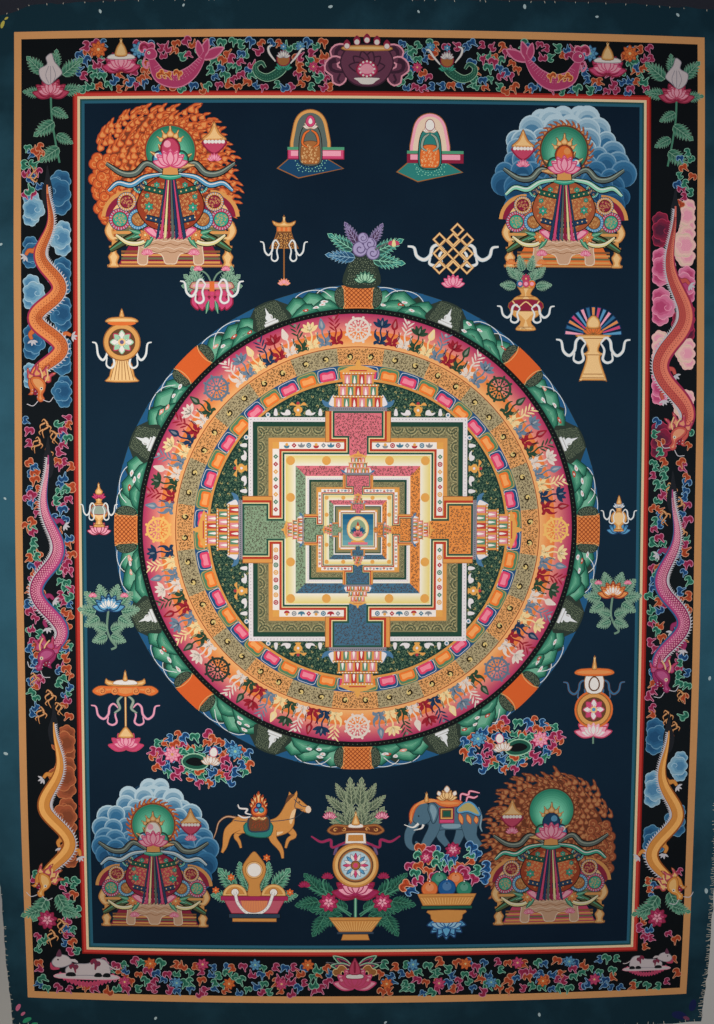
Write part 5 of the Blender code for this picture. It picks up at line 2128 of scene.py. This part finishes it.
def lying_beast():
    """White beast at rest on a wide pink lotus, head raised, with dark feet."""
    rest = Motif()
    for number in range(15):
        x = -28 + 4 * number
        rest.put(petal(7.5, 4.6, ("rose", "crimson_light")), x - 6j + 0.012j * x * x, 180,
            beside=number < 14)
    rest.shade("~4 -30,-4 30,-4 27,2 -27,2", "rose_light", "pearl .9")
    body = smooth("-20,0 -22,8 -12,13 2,14 10,19 20,18 25,10 23,1 0,0", 4)
    rest.shade(body, "pearl_shade", "pearl .8")
    for left, right in ((-22, -12), (8, 16), (17, 25)):
        rest.fill("lamp_black", smooth([left - 1j, right - 1j, right - 1 + 3j, left + 2 + 3j]),
            up=0 if left > -22 else 1)
    rest.put(scroll_leaf(9, ("crimson", "plum", "crimson")), -12 + 3j, 10)
    rest.put(scroll_leaf(10, ("crimson", "plum", "crimson")), 9 + 7j, -8)
    rest.stroke("pearl", curve("23,12 30,8 35,8", 5), 1.2)
    head = smooth("-15,14 -19,21 -27,23 -34,19 -37,13 -32,8 -23,9", 4)
    rest.shade(head, "pearl_shade", "pearl .8")
    rest.fill("crimson_light", "~ -38,14 -35,9 -29,8 -30,6 -38,6")
    rest.fill("pearl", "~ -20,17 -9,14 -12,18")
    rest.fill("plum", "~ -32,21 -28,29 -26,21")
    return rest.fill("lamp_black", disc(-30 + 17j, 1, 8), up=0)


ends = Motif()


def off_the_big_motifs(p):
    """Places in the head and foot borders that the larger motifs leave free."""
    mirror = np.abs(p.real - 3.5)
    x = p.real
    top = p.imag > -500
    free = np.ones(len(p), bool)
    for centre, half, height, half_height in ((186, 30, -40, 13), (88, 19, -36, 17), (0, 35, -35, 30),
            (245, 15, -26, 13), (318, 28, -60, 70)):
        free &= ~(top & (np.abs(mirror - centre) < half) & (np.abs(p.imag - height) < half_height))
    free &= ~(~top & (np.abs(x + 4) < 25))
    return free & ~(~top & (mirror > 272) & (mirror < 330) & (np.abs(p.imag + 966) < 16))


strew_leaves(ends, off_the_big_motifs, (OUTER_LEFT + 5, OUTER_RIGHT - 5, INNER_HEAD + 5,
    OUTER_HEAD - 4.5), 9.3, 11, 9)
strew_leaves(ends, off_the_big_motifs, (OUTER_LEFT + 5, OUTER_RIGHT - 5, OUTER_FOOT + 5,
    INNER_FOOT - 4.5), 10.6, 12, 9.4)
hues = (("crimson", "rose", "gold_light"), ("flame_deep", "orange_paint", "gold_light"),
    ("navy_paint", "sky_paint", "leaf_pale"))
for number in range(19):
    at = -246 + 27.5 * number + (-958 if number % 2 else -979) * 1j
    if abs(at.real + 4) > 27:
        ends.put(blossom(7, hues[number % 3], 7), at, 11 * number, beside=True)
ends.coat += 3
for way in (-1, 1):
    left = way < 0
    for shift, height, radius, colours in ((-61, -17, 5.5, hues[2]), (-48, -37, 5.5, hues[0]),
            (-264, -19, 9, hues[1]), (-223, -20, 9, hues[2])):
        at = complex(shift if left else 8 - shift, height)
        ends.put(blossom(radius, colours, 8), at, beside=True)
ends.coat += 10
for flip, shift in ((False, 0), (True, 8)):
    for at, big in ((-241 - 27j, small_offering()), (-181 - 37j, leaping_fish()),
            (-78 - 34j, bud_and_tendril()), (-312.5 - 60j, corner_plant(4))):
        place = complex(shift - at.real, at.imag) if flip else at
        ends.put(big, place, flip=flip, beside=True)
for at, size, flip in ((-286 - 973j, 1, False), (305 - 968j, 0.74, True)):
    ends.put(lying_beast(), at, 0, size, flip, beside=True)
ends.put(head_medallion(), 5.5 - 31j, beside=True)
ends.put(foot_medallion(), -4.5 - 963j)
lay_paint("border_ends", dimmed(ends, 0.16))

# Side borders
# Three dragons hang head down on each side among banks of cloud and curled leaves, with small
# flames between them and toothed leaves with peonies near the corners.

PIGMENTS.update(dragon_orange_dark="#8a3a2c", dragon_orange_light="#eaa368", dragon_amber="#dc9346",
    dragon_amber_dark="#9c5426", dragon_amber_light="#f0bd76", dragon_rose="#a23468",
    dragon_rose_dark="#6d1d45", dragon_rose_light="#bf5a8c", dragon_red="#cf5b52",
    dragon_red_dark="#8c2f3a", dragon_red_light="#ec9d78", belly_rose="#a62f58", belly_blue="#34699c",
    fin_white="#cfccd4", smoke="#20242b", spark="#c98a52", spark_light="#e8b989")
DRAGON_HUES = {"orange": ("dragon_orange_dark", "dragon_orange", "dragon_orange_light", "belly_rose"),
    "amber": ("dragon_amber_dark", "dragon_amber", "dragon_amber_light", "dragon_amber_dark"),
    "rose": ("dragon_rose_dark", "dragon_rose", "dragon_rose_light", "belly_blue"),
    "red": ("dragon_red_dark", "dragon_red", "dragon_red_light", "belly_rose")}


def dragon_head(colours):
    """Dragon's head in profile, facing up: open jaws, crest, horns and whiskers."""
    dark, body, light, _ = colours
    head = Motif()
    for at, turn, size in ((-7 - 4j, 152, 15), (-9 + 0j, 128, 14), (-2 - 6j, 176, 14), (4 - 5j, 200, 12)):
        head.put(flame(size, 0.2, (dark, "crimson_light", light)), at, turn)
    head.stroke("gold_light", curve("-7,2 -12,-4 -13,-12", 5), 1.4)
    head.stroke("gold_light", curve("-4,1 -7,-6 -6,-14", 5), 1.4)
    head.fill("crimson", "~ -4,-3 8,-1 7,8 3,12 -3,8")
    jaw = smooth("7,-6 9,0 8,7 11,10 6,11 4,6 3,-2", 4)
    head.shade(jaw, dark, (body, 0.6))
    skull = smooth("3,-7 -5,-5 -9,2 -7,9 -4,13 -5,18 0,20 3,16 1,9 4,4 6,-3", 4)
    head.shade(skull, dark, (body, 0.6), (light, 2.6))
    head.scatter("fin_white", dot_mark(0.7, 3), np.array(plotted("2,14 1.6,11 3,8 6.5,9 5.6,6")), 20)
    head.shade(disc(-3.6 + 6.5j, 1.9, 10), "gold_light", "white_paint .5", "lamp_black 1.1")
    head.stroke("fin_white", curve("-3,18 -9,21 -14,17", 5), 0.8)
    return head.stroke("fin_white", curve("2,18 8,22 14,19", 5), 0.8)


def claw_foot(colours):
    """Bent leg with four pale claws, reaching up from the origin."""
    dark, body = colours[:2]
    leg = Motif()
    path = curve("-1,-3 3,2 8,3 10,8", 4)
    taper = np.linspace(7, 3.4, len(path))
    for turn in (30, -5, -45, -95):
        leg.put(petal(6, 2.2, ("fin_white", "fin_white")), 10 + 9j, turn, beside=turn > -95)
    return leg.stroke(dark, path, taper).stroke(body, path, taper * 0.78)


def dragon(length, thick, sway, bends, hue):
    """Scaled dragon hanging head down from the origin in a few even waves, tail uppermost."""
    colours = DRAGON_HUES[hue]
    dark, body, light, belly = colours
    t = np.linspace(0, 1, 90)
    path = (sway * np.sin(2 * math.pi * bends * t ** 1.25) * np.minimum(1, 1.7 * t) - 1j * length * 0.93
        * t)
    width = thick * (0.1 + 0.9 * np.sin(np.minimum(1, t / 0.6) * math.pi / 2) ** 1.3)
    width *= 1 - 0.3 * np.clip((t - 0.85) / 0.15, 0, 1)
    way = np.gradient(path)
    way = way / np.abs(way)
    side = 1j * way
    animal = Motif()
    animal.fill("smoke", "~ -3,-22 -6,-8 -2,6 0,20 3,6 6,-8 3,-22")
    for where, flip in ((0.34, False), (0.8, True), (0.72, False)):
        k = int(where * 89)
        leg = Motif().put(claw_foot(colours), flip=flip)
        spin = math.degrees(math.atan2(way[k].imag, way[k].real)) - 90
        animal.put(leg, path[k] + side[k] * width[k] * (0.25 if flip else -0.25), spin)
    count = int(length / 2.3)
    marks = np.linspace(0.02, 0.97, count) * 89
    roots = np.interp(marks, range(90), path.real) + 1j * np.interp(marks, range(90), path.imag)
    out = np.interp(marks, range(90), side.real) + 1j * np.interp(marks, range(90), side.imag)
    wide = np.interp(marks, range(90), width)
    thorn = (np.array([-1.5, 1.3, -1.8 + 3.8j]), np.array([[0, 1, 2]]))
    animal.scatter("fin_white", thorn, roots + out * (wide * 0.5 - 0.4), np.degrees(np.angle(out)) - 90)
    animal.stroke("fin_white", path + side * width * 0.06, width * 0.98)
    animal.stroke(dark, path, width).stroke(body, path, width * 0.92)
    animal.stroke(mixed(body, light, 0.5), path - side * width * 0.16, width * 0.4)
    animal.stroke(belly, path - side * width * 0.44, width * 0.11)
    places, turns = ([], [])
    for number, share in enumerate((-0.16, -0.03, 0.1, 0.23, 0.35)):
        ticks = (np.linspace(0.05, 0.96, int(length / 2.6)) + number % 2 * 0.0052) * 89
        x = np.interp(ticks, range(90), (path + side * width * share).real)
        y = np.interp(ticks, range(90), (path + side * width * share).imag)
        places.append(x + 1j * y)
        turns.append(np.degrees(np.interp(ticks, range(90), np.unwrap(np.angle(way)))))
    scale = (np.array(plotted("-.7,1 .9,0 -.7,-1 .05,0")), np.array([[0, 3, 1], [1, 3, 2]]))
    if hue == "rose":
        scale = dot_mark(0.85, 6)
    if hue != "amber":
        animal.scatter("rose_light" if hue == "rose" else dark, scale, np.concatenate(places),
            np.concatenate(turns))
    spin = math.degrees(math.atan2(way[-1].imag, way[-1].real)) - 90
    return animal.put(dragon_head(colours), path[-1] + way[-1] * 4,
        spin * 0.7 + 180 * 0.3 * (1 if spin > 0 else -1))


def cloud(radius, tones):
    """Bank of three scalloped puffs, thinly lined, darker towards their feet, with curls in them."""
    bank = Motif()
    angles = 2 * math.pi * np.arange(36) / 36
    for at, share in ((-0.85 - 0.12j, 0.82), (0.88 - 0.16j, 0.78), (0.04 + 0.12j, 1.08)):
        size = radius * share
        ring = (size * (0.84 + 0.16 * np.abs(np.cos(3 * angles + radius + share))) * np.exp(1j * angles)
            + radius * at)
        bank.shade(ring, mixed(tones[1], tones[2], 0.6), (tones[1], 0.7))
        for number, inner in enumerate((0.84, 0.66, 0.46)):
            tone = mixed(tones[1], tones[0], 0.25 + 0.25 * number)
            bank.fill(tone, (ring - radius * at) * inner + radius * at - (0.1 + 0.07 * number) * 1j
                * size)
        t = np.linspace(0, 1, 10)
        curl = radius * at + size * (0.25j + (0.1 + 0.28 * t) * np.exp(1j * math.pi * (share + 1.5 * t)))
        bank.stroke(mixed(tones[1], tones[2], 0.4), curl, size * 0.06)
    return bank


def spark_flame(size):
    """Small curling flame of a few brush strokes."""
    fire = Motif()
    for path, wide in ((plotted("0,0 -.16,.3 .12,.6 -.04,1"), 0.17),
            ([0.05 + 0.1j, 0.3 + 0.3j, 0.24 + 0.55j], 0.14),
            ([-0.05 + 0.2j, -0.34 + 0.3j, -0.3 + 0.55j], 0.13),
            ([0.1 + 0.5j, 0.3 + 0.7j, 0.2 + 0.86j], 0.11), ([0, 0.16 - 0.1j, 0.26 + 0.06j], 0.12)):
        line = curve(size * np.array(path), 4)
        taper = size * wide * 0.7 * (1 - 0.85 * np.linspace(0, 1, len(line)) ** 1.5)
        fire.stroke("dragon_amber_dark", line, taper + 0.4).stroke("spark", line,
            taper).stroke("spark_light", line, taper * 0.4)
    return fire


sides = Motif()
BLUE_CLOUD = ("cloud_deep", "cloud_mid", "cloud_pale")
PALE_CLOUD = ("cloud_mid", "cloud_pale", "cloud_line")
ROSE_CLOUD = ("scroll_rose", "fish_light", "rose_light")
PINK_CLOUD = ("fish_light", "linen_light", "rose_light")
WINE_CLOUD = ("plum_deep", "crimson", "crimson_light")
RUST_CLOUD = ("ember_deep", "ember_mid", "ember_light")
LEFT_CLOUDS = ((162, "in", 14, BLUE_CLOUD), (178, "out", 11, PALE_CLOUD), (208, "in", 11, PALE_CLOUD),
    (222, "out", 10, BLUE_CLOUD), (246, "in", 12, BLUE_CLOUD), (262, "out", 11, PALE_CLOUD),
    (284, "in", 11, BLUE_CLOUD), (312, "out", 11, BLUE_CLOUD), (326, "in", 12, BLUE_CLOUD),
    (362, "in", 10, BLUE_CLOUD), (346, "out", 8, PALE_CLOUD), (722, "in", 12, RUST_CLOUD),
    (758, "in", 14, RUST_CLOUD), (800, "in", 13, RUST_CLOUD), (838, "in", 10, RUST_CLOUD))
RIGHT_CLOUDS = ((182, "out", 11, PINK_CLOUD), (212, "out", 13, PINK_CLOUD), (196, "in", 11, WINE_CLOUD),
    (252, "out", 12, ROSE_CLOUD), (234, "in", 12, ROSE_CLOUD), (290, "out", 12, WINE_CLOUD),
    (274, "in", 12, ROSE_CLOUD), (322, "out", 10, PINK_CLOUD), (316, "in", 11, PINK_CLOUD),
    (356, "in", 11, ROSE_CLOUD), (376, "out", 11, PINK_CLOUD), (410, "in", 12, WINE_CLOUD),
    (716, "in", 12, BLUE_CLOUD), (748, "out", 10, PALE_CLOUD), (772, "in", 12, PALE_CLOUD),
    (806, "out", 11, BLUE_CLOUD), (830, "in", 12, BLUE_CLOUD))
for way, rows in ((-1, LEFT_CLOUDS), (1, RIGHT_CLOUDS)):
    for down, edge, radius, tones in rows:
        inner = INNER_LEFT if way < 0 else INNER_RIGHT
        x = inner + way * (2 + 0.9 * radius) if edge == "in" else way * (OUTER_RIGHT - 2 - 0.9 * radius)
        sides.put(cloud(radius, tones), x - 1j * down, -way * 90 if edge == "in" else way * 90,
            beside=True)
sides.coat += 20


def leafy_stretch(p):
    """Places in the side borders where curled leaves grow, clear of the dragons' middles."""
    x, y = (p.real, -p.imag)
    left = x < 0
    middle = np.where(left, -318, 319)
    off = np.abs(x - middle)
    near_top = (y > 112) & (y < 172) & (np.abs(x) > 322)
    by_second = (y > 430) & (y < 668) & (off > 8)
    low = (y > 862) & (y < 945) & (off > 9) & ~((y > 876) & (y < 925) & (np.abs(x) > 322))
    between = (y > 668) & (y < 700) | (y > 388) & (y < 426)
    return (near_top | by_second | low | between & (off > 13)) & (np.abs(x) < 339) & (np.abs(x - 2) > 296)


strew_leaves(sides, leafy_stretch, (OUTER_LEFT + 4, OUTER_RIGHT - 4, -945, -100), 8.8, 21, 9.2)
for at, turn, size in ((-318 - 392j, 170, 17), (-311 - 402j, 200, 14), (-325 - 410j, 160, 15),
        (-316 - 420j, 185, 13), (-317 - 668j, 180, 17), (-309 - 680j, 200, 14), (-325 - 686j, 165, 16),
        (-318 - 860j, 190, 14), (-330 - 150j, 10, 16), (-333 - 650j, 180, 14), (-311 - 912j, 190, 17),
        (-320 - 925j, 170, 17), (318 - 455j, 180, 17), (328 - 470j, 165, 16), (310 - 482j, 195, 16),
        (330 - 500j, 180, 14), (318 - 690j, 184, 16), (327 - 702j, 172, 14), (331 - 668j, 190, 13),
        (328 - 868j, 180, 14)):
    sides.put(spark_flame(size), at, turn, beside=True)
sides.coat += 10
for x, flip in ((-318, False), (322, True)):
    for at, turn, size in ((x - 8 - 888j, 150, 24), (x - 12 - 900j, 110, 20), (x + 4 - 884j, 205, 22),
            (x + 8 - 900j, 250, 17)):
        sides.put(fern(size), at, turn)
    sides.put(peony(11), x - 8 - 912j)
for at, length, thick, sway, bends, hue, flip in ((-316 - 154j, 210, 15.5, 13, 2.8, "orange", False),
        (-316 - 426j, 216, 14, 13, 2, "rose", True), (-314 - 700j, 176, 13.5, 13.5, 1.7, "amber", False),
        (320 - 172j, 244, 17, 14.5, 1.9, "red", True), (319 - 460j, 202, 14, 13.5, 1.85, "rose", False),
        (320 - 710j, 174, 13.5, 13.5, 1.6, "amber", True)):
    sides.put(dragon(length, thick, sway, bends, hue), at, flip=flip, beside=True)
lay_paint("border_sides", dimmed(sides, 0.1))

# Cut edges
# Where the cloth was cut off its stretcher short pale ends of warp and weft stand out of the edge,
# and dabs of paint from wiping the brushes were left on the bare margin near the corners.

PIGMENTS.update(raw_cotton="#b4afa2", dab_rose="#b4607e", dab_green="#2b8560", dab_yellow="#a8a04a",
    dab_navy="#17204a", fleck="#9db1b6")


CUT_HEIGHT = 1063
CUT_WIDTH = 742
CUT_FOOT = -FRAME_HEIGHT - 33


def edge_place(edge, along):
    """Flat place on a cut edge, at a distance along it in mm from its lower or left end."""
    if edge in ("left", "right"):
        share = along / CUT_HEIGHT
        if edge == "left":
            return complex(-FRAME_WIDTH / 2 - margin_at(LEFT_MARGIN, share), CUT_FOOT + along)
        return complex(FRAME_WIDTH / 2 + margin_at(RIGHT_MARGIN, share), CUT_FOOT + along)
    share = along / CUT_WIDTH
    if edge == "foot":
        return complex(along - CUT_WIDTH / 2, -FRAME_HEIGHT - margin_at(BOTTOM_MARGIN, share))
    return complex(along - CUT_WIDTH / 2, margin_at(TOP_MARGIN, share))


OUTWARD = {"left": -1, "right": 1, "foot": -1j, "head": 1j}
frays = Motif()
cut_order = np.random.default_rng(29)
for edge, first, last, pitch, longest in (("right", 6, 250, 2.6, 2.6), ("right", 250, 1050, 21, 1.2),
        ("left", 4, 120, 6.5, 1.6), ("left", 120, 1050, 26, 1.1), ("foot", 8, 735, 11, 1.8),
        ("head", 8, 735, 17, 1)):
    for along in np.arange(first, last, pitch):
        spot = edge_place(edge, along + cut_order.uniform(-0.4, 0.4) * pitch)
        reach = OUTWARD[edge] * cut_order.uniform(0.4, 1) * longest
        lean = OUTWARD[edge] * 1j * cut_order.uniform(-1, 1) * longest
        frays.stroke("raw_cotton", [spot - reach * 2.2, spot - reach * 0.6 + lean * 0.3,
            spot + lean - reach * 0.1], 0.55)
for name, spot, across, along, turn in (("dab_green", -352 - 1026j, 5.5, 2.4, 30),
        ("dab_rose", -361 - 1012j, 4.5, 2.2, 62), ("dab_green", -344 - 1030j, 3.5, 1.5, 12),
        ("dab_rose", -356 - 1019j, 3, 1.5, 45), ("dab_navy", 344 - 1025j, 9, 4.5, -20),
        ("dab_navy", 358 - 1014j, 4, 7, -8), ("plum", 352 - 1029j, 4, 2, -30),
        ("dab_yellow", -362 + 8j, 4, 1.8, 70), ("dab_yellow", -358 + 14j, 2.2, 1.1, 30)):
    patch = egg(0, across, along) * heading(turn) + spot
    frays.fill(name, patch)
for x, y, size in ((-262, 19, 1.3), (-178, 24, 1), (-31, 22, 1.4), (57, 18, 1), (164, 25, 1.5),
        (238, 17, 1.1), (322, 22, 1.3), (-363, -214, 1.2), (-360, -470, 1), (-364, -733, 1.5),
        (363, -312, 1.2), (361, -655, 1.4), (366, -884, 1.8), (-214, -1019, 1.2), (28, -1022, 1.1),
        (191, -1017, 1.4)):
    frays.fill("fleck", egg(0, size * 1.6, size) * np.exp(0.7j * x) + complex(x, y))
lay_paint("cut_edges", frays)

# Studio
# A pale floor, a plain grey-mauve wall well behind the cloth, one large soft light at the left, a
# weak one at the right, another for the cloth's back, and the camera where the photographer stood.

FLOOR_UNDER_CLOTH = 0.22
STUDIO_WIDTH = 9
WALL_BEHIND = 2.9
PALE_FLOOR = "#d8d5cf"
WALL_GREY = "#585c6c"
AMBIENT = ("#ffffff", 0.1)

# name, where it stands, where it points, its side in metres, its watts, its tint
LIGHTS = (("key_light", (-0.42, -0.95, -0.4), (-0.05, 0, -0.46), 0.36, 8.3, "#fff9f0"),
    ("fill_light", (0.75, -1, -0.42), (0.1, 0, -0.46), 0.4, 3.8, "#f4f7ff"),
    ("back_light", (0.6, 1.7, 0.1), (0, 0, -0.5), 0.8, 12, "#ffffff"))
CAMERA_AT = (-0.0329, -1.4473, -0.4321)
CAMERA_YAW, CAMERA_PITCH, CAMERA_ROLL = (-1.167, -3.239, 0.126)  # degrees: right, up, clockwise
LENS_MM = 50
SENSOR_MM = 36


def studio_surface(name, colour, size, place, tip, grain_mm):
    """One flat, faintly mottled studio surface, with its place in its mesh."""
    bpy.ops.object.select_all(action="DESELECT")
    bpy.ops.mesh.primitive_grid_add(x_subdivisions=12, y_subdivisions=12, size=size, location=place,
        rotation=(tip, 0, 0))
    surface = bpy.context.object
    surface.name = name
    bpy.ops.object.transform_apply(location=True, rotation=True, scale=True)
    material, tree, shader = matt_paint(name + "_paint", 0.9)
    place_in = node(tree, "ShaderNodeTexCoord")
    grain = node(tree, "ShaderNodeTexNoise", {"Vector": place_in.outputs["Object"],
        "Scale": 1000 / grain_mm, "Detail": 3})
    soft = node(tree, "ShaderNodeBump", {"Height": grain.outputs["Fac"], "Strength": 0.2,
        "Distance": 0.001})
    shader.inputs["Base Color"].default_value = from_hex(colour)
    tree.links.new(soft.outputs["Normal"], shader.inputs["Normal"])
    surface.data.materials.append(material)


floor_height = cad_box[0][2] - FLOOR_UNDER_CLOTH
studio_surface("floor", PALE_FLOOR, STUDIO_WIDTH, (0, 0, floor_height), 0, 30)
studio_surface("wall", WALL_GREY, STUDIO_WIDTH, (0, WALL_BEHIND, floor_height + STUDIO_WIDTH / 2),
    math.pi / 2, 40)

world = bpy.data.worlds.new("studio_air")
bpy.context.scene.world = world
world.use_nodes = True
air = world.node_tree.nodes["Background"]
air.inputs["Color"].default_value = from_hex(AMBIENT[0])
air.inputs["Strength"].default_value = AMBIENT[1]

for name, place, aim, side, watts, tint in LIGHTS:
    lamp = bpy.data.lights.new(name, "AREA")
    lamp.size = side
    lamp.energy = watts
    lamp.color = from_hex(tint)[:3]
    shining = bpy.data.objects.new(name, lamp)
    shining.location = place
    shining.rotation_euler = (Vector(aim) - Vector(place)).to_track_quat("-Z", "Y").to_euler()
    shining.visible_camera = False
    bpy.context.collection.objects.link(shining)

yaw, pitch, roll = (math.radians(angle) for angle in (CAMERA_YAW, CAMERA_PITCH, CAMERA_ROLL))
level_right = Vector((math.cos(yaw), math.sin(yaw), 0))
forward = Vector((-math.sin(yaw) * math.cos(pitch), math.cos(yaw) * math.cos(pitch), math.sin(pitch)))
level_up = level_right.cross(forward)
right_way = level_right * math.cos(roll) + level_up * math.sin(roll)
up_way = level_up * math.cos(roll) - level_right * math.sin(roll)
lens = bpy.data.cameras.new("camera")
lens.lens = LENS_MM
lens.sensor_width = SENSOR_MM
camera = bpy.data.objects.new("camera", lens)
camera.matrix_world = Matrix(((right_way[0], up_way[0], -forward[0], CAMERA_AT[0]),
    (right_way[1], up_way[1], -forward[1], CAMERA_AT[1]),
    (right_way[2], up_way[2], -forward[2], CAMERA_AT[2]), (0, 0, 0, 1)))
bpy.context.collection.objects.link(camera)
bpy.context.scene.camera = camera
